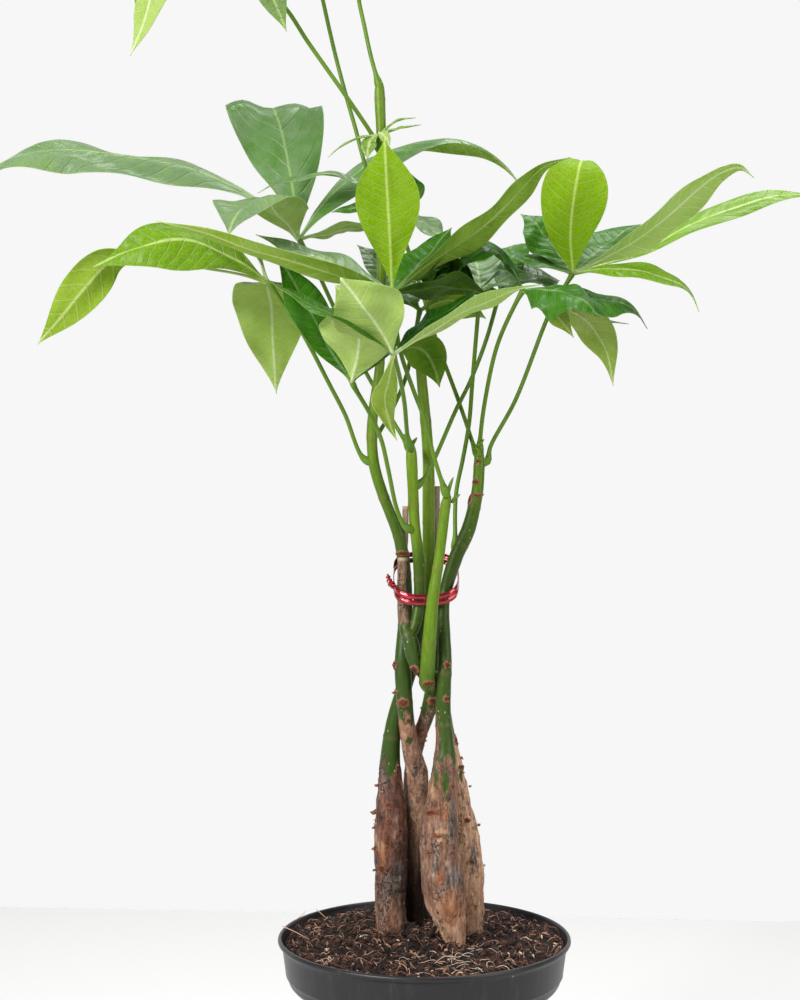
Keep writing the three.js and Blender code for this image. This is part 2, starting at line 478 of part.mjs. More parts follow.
        right: [-0.8, -0.4, -0.3] },
      { rib: [[-142, 746, 0], [-165, 752, -6], [-191, 743, -10]], wide: 38, right: [0, 0.9, 0.3] },
      { rib: [[-116, 755, -4], [-112, 774, -22]], wide: 40, right: [1, 0, 0] },
      { rib: [[-98, 749, 14], [-72, 755, 18], [-52, 747, 20]], wide: 34, right: [0, -0.9, -0.3] },
    ],
  },
  leaf_top_back: {
    on: 'trunk_middle',
    stalk: [[-26, 569, -4], [-30, 584, -6], [-35, 599.5, -9], [-40, 618.5, -14], [-45, 636, -19],
      [-51.5, 660.5, -24], [-59, 693.5, -32], [-65, 723.5, -42]],
    blades: [
      { rib: [[-81, 739, -50], [-104, 738, -60], [-127, 720, -70]], wide: 34, right: [0, 0.9, 0.3] },
      { rib: [[-69, 743, -70], [-72, 749, -100], [-74, 737, -128]], wide: 38, right: [1, 0.1, 0] },
      { rib: [[-52, 747, -46], [-34, 761, -54], [-8, 756, -66]], wide: 36, right: [0.5, -0.8, 0] },
      { rib: [[-72, 736, -10], [-79, 736, 20], [-84, 725, 44]], wide: 32, right: [-0.9, -0.3, 0] },
    ],
  },
  leaf_top_right: {
    on: 'trunk_middle',
    stalk: [[-25.5, 641, -3], [-31, 660.5, -4], [-35, 679, -6], [-38, 693.5, -8], [-40, 716.5, -12]],
    blades: [
      { rib: [[-23, 734, -8], [3, 739, -2], [33, 720, 4]], wide: 36, right: [0, -0.9, -0.3] },
      { rib: [[-36, 732, 20], [-29, 732, 44], [-26, 720, 62]], wide: 34, right: [-0.95, -0.2, 0] },
      { rib: [[-42, 743, -20], [-46, 768, -34]], wide: 38, right: [1, 0, 0.05] },
      { rib: [[-23, 729, -40], [-5, 732, -62], [9, 720, -80]], wide: 34, right: [0.5, -0.8, -0.1] },
    ],
  },
  leaf_young: {
    on: 'trunk_middle',
    stalk: [[-25, 605, -2], [-25.5, 610, 3], [-26, 615, 6]],
    blades: [
      { rib: [[-22, 617, 8], [-14, 619, 9], [-2, 621, 9]], wide: 7, right: [0, -0.9, -0.3] },
      { rib: [[-21, 620, 3], [-14, 624, 1], [-5, 625, 0]], wide: 6, right: [0, -0.9, -0.3] },
      { rib: [[-38, 613.5, 9], [-49, 608, 10], [-56, 602, 11]], wide: 6, right: [0, 0.9, 0.3] },
      { rib: [[-31, 612, 9], [-33, 606, 11], [-33, 601, 12]], wide: 9, right: [-0.9, 0.1, 0] },
      { rib: [[-24, 615, 10], [-22, 613, 12], [-20, 609, 13]], wide: 7, right: [0.6, -0.6, 0] },
    ],
  },
};

function leaf({ stalk, blades }, clearStem) {
  const thick = stalk.map((point) => [...point, STALK_RADIUS]);
  const hub = new THREE.IcosahedronGeometry(HUB_RADIUS);
  const end = seen(stalk[stalk.length - 1]);
  hub.translate(end.x, end.y, end.z);
  let body = rod(thick, STALK_SIDES, stalk.length).subtract(clearStem).add(solid(hub));
  for (const blade of blades) body = body.add(leaflet(stalk[stalk.length - 1], blade));
  return body;
}

// The whole plant in its pot
const tree = new THREE.Group();
const grownTrunks = {};
for (const [name, branches] of Object.entries(TRUNKS)) {
  grownTrunks[name] = trunk(branches, GAP);
  tree.add(piece(name, trunk(branches), BARK_BROWN, 0.8));
}
tree.add(piece('pot', pot(), POT_BLACK, 0.45));
tree.add(piece('soil', soil(Object.values(grownTrunks)), SOIL_BROWN, 0.95));
tree.add(piece('tie', tie(), TIE_RED, 0.3, 0.6));
for (const [name, plan] of Object.entries(LEAVES)) {
  tree.add(piece(name, leaf(plan, grownTrunks[plan.on]), LEAF_GREEN, 0.45));
}

export default tree;
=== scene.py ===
# A money tree, five young trees braided into one, in a dark grey plastic nursery pot.
# Sizes in the tables are millimetres; the finished meshes are metres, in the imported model's frame.
import math
import numpy as np
import bpy
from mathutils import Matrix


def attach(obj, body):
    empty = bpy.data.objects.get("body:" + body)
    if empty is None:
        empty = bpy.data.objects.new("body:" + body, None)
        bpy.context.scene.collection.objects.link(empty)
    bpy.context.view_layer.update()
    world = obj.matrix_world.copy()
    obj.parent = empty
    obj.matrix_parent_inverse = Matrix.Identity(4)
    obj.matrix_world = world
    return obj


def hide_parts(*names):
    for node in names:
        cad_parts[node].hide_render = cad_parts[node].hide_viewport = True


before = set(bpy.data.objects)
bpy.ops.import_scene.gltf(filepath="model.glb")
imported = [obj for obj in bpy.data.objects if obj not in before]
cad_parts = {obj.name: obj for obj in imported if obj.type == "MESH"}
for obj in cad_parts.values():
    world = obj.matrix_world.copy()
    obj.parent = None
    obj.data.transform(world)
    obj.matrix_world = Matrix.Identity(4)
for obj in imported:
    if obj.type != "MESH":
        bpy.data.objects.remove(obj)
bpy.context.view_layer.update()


# Pot
# An injection-moulded nursery pot of dark grey polypropylene, satin outside and duller inside,
# with a rolled lip, a deep rim band, a rounded shoulder under the band and six drain holes.
RIM = 150  # height of the lip
POT_ROWS = 420
POT_TURNS = 120
DRAIN_HOLES = 6
DRAIN_RING = 40
DRAIN_RADIUS = 4.5
POT_GREY = (0.0135, 0.0125, 0.0145, 1)
POT_SCUFF = (0.06, 0.058, 0.062, 1)


def steps(path):
    """The distance from each place of a path to the next."""
    return np.linalg.norm(np.diff(path[:, :3], axis=0), axis=1)


def smooth_path(points, count):
    """A centripetal Catmull-Rom curve through the points, at evenly spaced lengths. The first three
    columns are a place and any further ones, such as a radius, ride along with it."""
    given = np.asarray(points, float)
    given = np.vstack([2 * given[0] - given[1], given, 2 * given[-1] - given[-2]])
    knots = np.concatenate([[0], np.cumsum(steps(given) ** 0.5)])
    t = np.linspace(knots[1], knots[-2], 40 * len(given))
    k = np.clip(np.searchsorted(knots, t, side="right") - 1, 1, len(given) - 3)
    p = [given[k + shift] for shift in (-1, 0, 1, 2)]
    at = [knots[k + shift] for shift in (-1, 0, 1, 2)]

    def between(a, b, start, stop):
        share = ((t - start) / (stop - start))[:, None]
        return (1 - share) * a + share * b

    first = [between(p[i], p[i + 1], at[i], at[i + 1]) for i in range(3)]
    second = [between(first[i], first[i + 1], at[i], at[i + 2]) for i in range(2)]
    fine = between(second[0], second[1], at[1], at[2])
    run = np.concatenate([[0], np.cumsum(steps(fine))])
    even = np.linspace(0, run[-1], count)
    return np.stack([np.interp(even, run, column) for column in fine.T], axis=1)


def circle(count):
    """Evenly spaced angles all the way round."""
    return np.linspace(0, 2 * np.pi, count, endpoint=False)


def build(name, patches, materials, node=None):
    """One mesh piece from patches. A patch is a grid of points in mm: rows follow each other along the
    piece, columns run round it and close on themselves, and a flat face shuts each end. Its uv, one
    column wider than the grid, and its values, one for each point, go with it. faces says which
    material each column of quads takes."""
    places, faces, uvs, slots = [], [], [], []
    values = {}
    start = 0
    for patch in patches:
        points = patch["points"]
        rows, columns = points.shape[:2]
        grid = start + np.arange(rows * columns).reshape(rows, columns)
        after = np.roll(grid, -1, axis=1)
        quads = np.stack([grid[:-1], after[:-1], after[1:], grid[1:]], axis=-1).reshape(-1, 4)
        faces += quads.tolist() + [grid[0, ::-1].tolist(), grid[-1].tolist()]
        places.append(points.reshape(-1, 3))
        uv = patch.get("uv", np.zeros((rows, columns + 1, 2)))
        corners = np.stack([uv[:-1, :-1], uv[:-1, 1:], uv[1:, 1:], uv[1:, :-1]], axis=2)
        uvs += [corners.reshape(-1, 2), uv[0, -2::-1], uv[-1, :-1]]
        column_slots = np.broadcast_to(patch.get("faces", 0), columns)
        slots += [np.tile(column_slots, rows - 1), [column_slots[0], column_slots[0]]]
        for key, value in patch.get("values", {}).items():
            whole = values.setdefault(key, [])
            whole.append(np.zeros(start - sum(len(part) for part in whole)))
            whole.append(np.broadcast_to(value, (rows, columns)).reshape(-1))
        start += rows * columns
    mesh = bpy.data.meshes.new(name)
    mesh.from_pydata((np.concatenate(places) * 0.001).tolist(), [], faces)
    layer = mesh.uv_layers.new(name="surface")
    layer.data.foreach_set("uv", np.concatenate(uvs).astype(np.float32).ravel())
    mesh.polygons.foreach_set("material_index", np.concatenate(slots).astype(np.int32))
    mesh.polygons.foreach_set("use_smooth", np.ones(len(mesh.polygons), bool))
    for key, parts in values.items():
        whole = np.concatenate(parts)
        whole = np.concatenate([whole, np.zeros(start - len(whole))])
        attribute = mesh.attributes.new(key, "FLOAT", "POINT")
        attribute.data.foreach_set("value", whole.astype(np.float32))
    mesh.update()
    made = bpy.data.objects.new(name, mesh)
    bpy.context.scene.collection.objects.link(made)
    for material in materials:
        mesh.materials.append(material)
    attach(made, "root")
    if node:
        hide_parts(node)
    return made


def new_material(name):
    """A material with its default shader, and the two as a pair."""
    material = bpy.data.materials.new(name)
    material.use_nodes = True
    return material, material.node_tree


def paint(tone):
    """The linear colour of a six-digit screen colour, or the grey of a number. Other values stay."""
    if isinstance(tone, str):
        shares = np.array([int(tone[i:i + 2], 16) for i in (0, 2, 4)]) / 255
        linear = np.where(shares > 0.04045, ((shares + 0.055) / 1.055) ** 2.4, shares / 12.92)
        return (*linear.tolist(), 1)
    if isinstance(tone, (int, float)):
        return (tone, tone, tone, 1)
    return tone


def plug(tree, socket, value):
    """Sets an input to a value, or joins another node's output to it."""
    if isinstance(value, bpy.types.NodeSocket):
        tree.links.new(value, socket)
    else:
        socket.default_value = value


def add(tree, kind, settings=None, **inputs):
    """A node with its settings and inputs; in0, in1 and so on stand for the inputs by number."""
    made = tree.nodes.new("ShaderNode" + kind)
    for key, value in (settings or {}).items():
        setattr(made, key, value)
    for key, value in inputs.items():
        which = int(key[2:]) if key[2:].isdigit() else key.replace("_", " ")
        plug(tree, made.inputs[which], value)
    return made


def shade(tree, **inputs):
    """Sets or joins inputs of the material's own Principled shader."""
    shader = tree.nodes["Principled BSDF"]
    for key, value in inputs.items():
        plug(tree, shader.inputs[key.replace("_", " ")], value)
    return shader


def ramp(tree, factor, *stops):
    """A colour ramp over the stops, each a (position, colour) pair."""
    made = add(tree, "ValToRGB", Fac=factor)
    marks = made.color_ramp.elements
    for mark, (position, tone) in zip(marks, (stops[0], stops[-1])):
        mark.position, mark.color = position, paint(tone)
    for position, tone in stops[1:-1]:
        marks.new(position).color = paint(tone)
    return made.outputs["Color"]


def mix(tree, factor, first, second, blend="MIX"):
    """Two colours mixed by a factor."""
    made = add(tree, "Mix", {"data_type": "RGBA", "blend_type": blend}, in0=factor, in6=paint(first),
               in7=paint(second))
    return made.outputs[2]


def calc(tree, kind, first, second=0.0, third=0.0):
    """One step of arithmetic."""
    return add(tree, "Math", {"operation": kind}, in0=first, in1=second, in2=third).outputs[0]


def spread(tree, value, source, target, kind="LINEAR"):
    """A value carried over from one range of numbers to another, and kept within it."""
    return add(tree, "MapRange", {"interpolation_type": kind}, Value=value, From_Min=source[0],
               From_Max=source[1], To_Min=target[0], To_Max=target[1]).outputs["Result"]


def noise(tree, place, scale, detail, rough=0.5):
    """A cloudy value from 0 to 1; scale counts the clouds along a metre."""
    return add(tree, "TexNoise", Vector=place, Scale=scale, Detail=detail, Roughness=rough).outputs["Fac"]


def scaled(tree, place, share):
    """The place with its height scaled, which draws a pattern out upwards."""
    return add(tree, "Mapping", Vector=place, Scale=(1, 1, share)).outputs["Vector"]


def bump(tree, height, distance, strength):
    """A bump of that height, in metres."""
    return add(tree, "Bump", Height=height, Distance=distance, Strength=strength).outputs["Normal"]


# The wall's outline as [radius, height], up its inside, over the lip and down its outside
pot_outline = np.array([
    [0.01, 2.4], [30, 2.4], [54.5, 2.4], [56.4, 3.2], [57.2, 5], [65.1, 88], [68.6, RIM - 36],
    [69.4, RIM - 32.4], [70.6, RIM - 30.4], [73.6, RIM - 28], [75.8, RIM - 26], [77, RIM - 23],
    [79, RIM - 14], [81.6, RIM - 5.4], [82.6, RIM - 2.6], [82.9, RIM - 0.9], [83.6, RIM - 0.1],
    [84.4, RIM - 0.5], [84.9, RIM - 1.4], [84.8, RIM - 2.6], [83.9, RIM - 3.6], [82.9, RIM - 4.2],
    [82.5, RIM - 5.6], [80.6, RIM - 19], [80.3, RIM - 21.4], [79.9, RIM - 21.8], [79.5, RIM - 22.2],
    [79.2, RIM - 23], [78.6, RIM - 25], [77.2, RIM - 27], [75.2, RIM - 28.6], [73.2, RIM - 29.8],
    [71.7, RIM - 31], [71, RIM - 33], [70.2, RIM - 36], [66.5, 88], [58.7, 6], [58.2, 3.8], [57.4, 1.8],
    [56, 0.6], [54, 0.05], [50, 0], [30, 0], [0.01, 0],
])
pot_profile = smooth_path(np.insert(pot_outline, 1, 0, axis=1), POT_ROWS)[::-1, [0, 2]]
turns = circle(POT_TURNS)
pot_points = np.stack([
    pot_profile[:, :1] * np.cos(turns),
    pot_profile[:, :1] * np.sin(turns),
    np.broadcast_to(pot_profile[:, 1:], (len(pot_profile), POT_TURNS)),
], axis=-1)

plastic, tree = new_material("pot_plastic")
spot = add(tree, "TexCoord").outputs["Object"]
mottle = noise(tree, spot, 38, 5, 0.6)
grain = noise(tree, spot, 1500, 2)
scratches = noise(tree, scaled(tree, spot, 0.08), 210, 6, 0.75)
worn = ramp(tree, scratches, (0.52, 0), (0.74, 1))
tone = mix(tree, calc(tree, "MULTIPLY", worn, mottle), POT_GREY, POT_SCUFF)
shade(tree, Base_Color=tone, Roughness=spread(tree, mottle, (0, 1), (0.3, 0.42)), Specular_IOR_Level=0.34,
      Normal=bump(tree, grain, 0.00006, 0.5))
pot = build("nursery_pot", [{"points": pot_points}], [plastic], "pot")
for number in range(DRAIN_HOLES):
    turn = 2 * math.pi * number / DRAIN_HOLES
    place = (0.001 * DRAIN_RING * math.cos(turn), 0.001 * DRAIN_RING * math.sin(turn), 0)
    bpy.ops.mesh.primitive_cylinder_add(
        vertices=32, radius=0.001 * DRAIN_RADIUS, depth=0.01, location=place)
    drill = bpy.context.object
    cut = pot.modifiers.new("drain_hole", "BOOLEAN")
    cut.operation, cut.solver, cut.object = "DIFFERENCE", "EXACT", drill
    pot.data = bpy.data.meshes.new_from_object(pot.evaluated_get(bpy.context.evaluated_depsgraph_get()))
    pot.modifiers.clear()
    bpy.data.objects.remove(drill)


# Soil
# Dark brown peat potting mix, loose and uneven, filled to just under the pot's lip and heaped a
# little round the trunks, with curled plant fibres, fine pale roots, clods and grains of perlite.
SOIL_EDGE = 146
SOIL_MOUND = 3
SOIL_REACH = 80.9
SOIL_RINGS = 110
SOIL_TURNS = 300
SOIL_SEED = 11
FIBRES = 1800
CHIPS = 1700
ROOTS = 30
CLODS = 420
GRAINS = 14
# Straws that lie over the rim on the left, each through [across, up, near]
STRAWS = [
    [[-63, 164.5, -51], [-59.5, 161.5, -50], [-55, 157.4, -47]],
    [[-82.6, 154.6, -7], [-75, 151.2, 0], [-67, 147, 7]],
    [[-74.6, 158.4, -33], [-71, 161, -36], [-68.6, 163.6, -37]],
]
STRAW_ROWS = 9


def unit(vectors):
    """Each vector divided by its own length."""
    vectors = np.asarray(vectors, float)
    return vectors / np.maximum(np.linalg.norm(vectors, axis=-1, keepdims=True), 1e-9)


def waves(places, size, seed, count=24):
    """Smooth lumps about 1 high and low: sine waves that run in seeded directions, with lengths about
    size, added up at each place and divided by the root of their number."""
    rng = np.random.default_rng(seed)
    heading = unit(rng.normal(size=(count, 3))) * 2 * np.pi / (size * rng.uniform(0.6, 1.6, (count, 1)))
    phase = rng.uniform(0, 2 * np.pi, count)
    return np.sin(np.asarray(places) @ heading.T + phase).sum(axis=-1) / np.sqrt(count)


def ease(x, start, stop):
    """0 before start, 1 after stop, with an S curve between them."""
    share = np.clip((np.asarray(x, float) - start) / (stop - start), 0, 1)
    return share * share * (3 - 2 * share)


def soil_height(x, y):
    """The level of the soil: a mound among the trunks on a flat bed, with the lumps of the solid and
    small loose heaps."""
    mound = SOIL_MOUND * np.exp(-(((x - 5) / 42) ** 2) - ((y - 10) / 38) ** 2)
    lumps = 0.8 * (np.sin(0.21 * x + 1.3) * np.cos(0.18 * y - 0.4) + 0.6 * np.sin(0.43 * x - 0.37 * y))
    heaps = 1.2 * waves(np.stack([x, y, np.zeros_like(x)], axis=-1), 11, 6)
    return SOIL_EDGE + mound + lumps + heaps


# The soil's underside and the flank that lies against the pot, as [radius, height], from the middle out
soil_wall = np.array([
    [0.01, 2.8], [54.4, 2.8], [56.4, 4.8], [64.5, 88], [68, RIM - 36], [69.2, RIM - 30.5],
    [74.2, RIM - 25.6], [76.8, RIM - 22], [78.2, RIM - 16], [79.6, RIM - 9],
])
rings = np.linspace(SOIL_REACH, 0.01, SOIL_RINGS)
soil_profile = np.vstack([soil_wall, np.stack([rings, np.full(SOIL_RINGS, SOIL_EDGE)], axis=1)])
soil_turns = circle(SOIL_TURNS)
soil_x = soil_profile[:, :1] * np.cos(soil_turns)
soil_y = soil_profile[:, :1] * np.sin(soil_turns)
soil_z = np.broadcast_to(soil_profile[:, 1:], soil_x.shape).copy()
bed = slice(len(soil_wall), None)
flat = np.stack([soil_x[bed], soil_y[bed], np.zeros_like(soil_x[bed])], axis=-1)
crumbs = 0.8 * np.abs(waves(flat, 8, 3)) - 0.9 * np.abs(waves(flat, 3.4, 4)) + 0.45 * waves(flat, 1.7, 5)
inward = ease(SOIL_REACH - rings, 0, 3)[:, None]
soil_z[bed] = SOIL_EDGE - 1 + inward * (soil_height(soil_x[bed], soil_y[bed]) - SOIL_EDGE + crumbs)

peat, tree = new_material("peat")
spot = add(tree, "TexCoord").outputs["Object"]
coarse = noise(tree, spot, 180, 8, 0.7)
fine = noise(tree, spot, 1100, 4)
tone = ramp(tree, coarse, (0.4, "040202"), (0.5, "160c08"), (0.58, "3e261c"), (0.68, "6e4836"))
shade(tree, Base_Color=tone, Roughness=0.95, Normal=bump(tree, fine, 0.0006, 0.9))
soil_points = np.stack([soil_x, soil_y, soil_z], axis=-1)
build("soil_bed", [{"points": soil_points}], [peat], "soil")


def tube(path, radius, sides, squash=1.0):
    """A rod round a path: at each place a ring of points at the radius, flattened by squash, across
    the path's own direction. The ring starts on the side away from the viewer."""
    along = unit(np.gradient(path[:, :3], axis=0))
    side = unit(np.cross(along, [0.02, 1, 0.01]))
    depth = np.cross(side, along)
    turn = circle(sides)
    ring = np.cos(turn)[:, None] * depth[:, None] * squash + np.sin(turn)[:, None] * side[:, None]
    return path[:, None, :3] + ring * np.broadcast_to(radius, len(path))[:, None, None]


rng = np.random.default_rng(SOIL_SEED)


def curl(length, reach, lift):
    """A loose strand on the soil: a heading that wanders, added up step by step, and a height that
    starts and ends in the soil."""
    steps = 9
    heading = rng.uniform(0, 2 * np.pi) + np.cumsum(rng.normal(0, 0.42, steps))
    away = reach * np.sqrt(rng.uniform(0, 1))
    around = rng.uniform(0, 2 * np.pi)
    x = away * np.cos(around) + np.cumsum(np.cos(heading)) * length / steps
    y = away * np.sin(around) + np.cumsum(np.sin(heading)) * length / steps
    inside = np.minimum(1, (SOIL_REACH - 0.8) / np.maximum(np.hypot(x, y), 1))
    x, y = x * inside, y * inside
    z = soil_height(x, y) - 0.5 + lift * np.sin(np.linspace(0.1, np.pi - 0.1, steps)) ** 0.7
    return np.stack([x, y, z], axis=1)


# The viewer's eye
EYE_X, EYE_Y, EYE_Z = -14.1, -936, 402.5


def seen(points):
    """Places from how they look: across and up in the plane of the trunks, and near, how far they stand
    in front of it, drawn in towards the viewer's eye by that much. Any further columns are kept."""
    points = np.asarray(points, float)
    nearer = (-EYE_Y - points[:, 2]) / -EYE_Y
    x = EYE_X + (points[:, 0] - EYE_X) * nearer
    z = EYE_Z + (points[:, 1] - EYE_Z) * nearer
    return np.column_stack([x, -points[:, 2], z, points[:, 3:]])


strands = []
for number in range(FIBRES):
    path = curl(rng.uniform(4, 15), SOIL_REACH, rng.uniform(0.6, 3.2))
    thick = rng.uniform(0.06, 0.2) * np.sin(np.linspace(0.25, np.pi - 0.2, len(path))) ** 0.5
    strands.append({"points": tube(path, thick, 3), "values": {"shade": 0.9 * rng.uniform(0, 1) ** 2.1}})
for number in range(CHIPS):
    path = curl(rng.uniform(1.5, 7), SOIL_REACH, rng.uniform(0, 1.6))[::2]
    path[:, 2] += np.linspace(0, rng.uniform(-0.6, 1.4), len(path))
    thick = rng.uniform(0.14, 0.6) * np.sin(np.linspace(0.4, np.pi - 0.2, len(path))) ** 0.5
    values = {"shade": 0.85 * rng.uniform(0, 1) ** 2.4}
    strands.append({"points": tube(path, thick, 4, 0.4), "values": values})
for number in range(ROOTS):
    path = curl(rng.uniform(8, 24), 70, rng.uniform(1.4, 2.8))
    if number % 3:
        path = path[:, :3] + [14 - 0.6 * path[0, 0], -44 - 0.6 * path[0, 1], 0]
    rod = tube(path, rng.uniform(0.07, 0.17), 4)
    strands.append({"points": rod, "values": {"shade": rng.uniform(0.84, 1)}})
for places in STRAWS:
    path = smooth_path(seen(places), STRAW_ROWS)
    rod = tube(path, np.linspace(0.26, 0.12, STRAW_ROWS), 5)
    strands.append({"points": rod, "values": {"shade": 0.72}})


def point_value(tree, name):
    """A value that the mesh carries at its points."""
    return add(tree, "Attribute", {"attribute_name": name}).outputs["Fac"]


fibre, tree = new_material("fibre")
tone = ramp(tree, point_value(tree, "shade"), (0, "0e0704"), (0.25, "331d14"), (0.45, "6a412f"),
            (0.65, "b4836a"), (0.84, "e4bea0"), (1, "f0e6da"))
shade(tree, Base_Color=tone, Roughness=0.75)
build("soil_fibres", strands, [fibre])


def pebble(place, size, seed):
    """An angular grain: a ball on a grid of latitude and longitude, pushed in and out by lumps."""
    rise = np.linspace(-0.49 * np.pi, 0.49 * np.pi, 5)[:, None]
    turn = circle(6)
    ball = np.stack([np.cos(rise) * np.cos(turn), np.cos(rise) * np.sin(turn),
                     0.7 * np.sin(rise) * np.ones_like(turn)], axis=-1)
    ball = ball * (1 + 0.34 * waves(ball * 3, 3, seed, 6))[..., None]
    return ball * size + place


crumb_patches = []
for number in range(CLODS + GRAINS):
    away, around = (SOIL_REACH - 2) * np.sqrt(rng.uniform(0, 1)), rng.uniform(0, 2 * np.pi)
    white = number >= CLODS
    size = rng.uniform(0.4, 0.8) if white else 0.5 + 2 * rng.uniform(0, 1) ** 2.2
    x, y = away * math.cos(around), away * math.sin(around)
    place = np.array([x, y, soil_height(x, y) + rng.uniform(0.1, 0.7) * size])
    tone = 1.0 if white else rng.uniform(0, 0.5)
    crumb_patches.append({"points": pebble(place, size, number), "values": {"shade": tone}})
clod, tree = new_material("clod")
spot = add(tree, "TexCoord").outputs["Object"]
rough = noise(tree, spot, 1400, 4)
tone = ramp(tree, point_value(tree, "shade"), (0, "0c0705"), (0.5, "3a261d"), (0.9, "cfc6ba"),
            (1, "efebe4"))
threads = noise(tree, spot, 900, 6, 0.8)
tone = mix(tree, ramp(tree, threads, (0.5, 0), (0.64, 0.7)), tone, "8a5c44")
shade(tree, Base_Color=tone, Roughness=0.95, Normal=bump(tree, rough, 0.0012, 1))
build("soil_crumbs", crumb_patches, [clod])


# Trunks
# Five young trees braided while soft. Each foot is swollen, with thin furrowed brown bark, and thins
# into a green stem with corky scars; branches and dried stubs of cut shoots grow from the stems.
STEM_SIDES = 72
BRANCH_SIDES = 40
STEM_STEP = 1.1  # between the rows of a branch
BARE_ROWS = 20  # at each end of a trunk, without crumbs of bark
FLAKES = 90  # crumbs of bark on each trunk
BUD_ROWS = 12

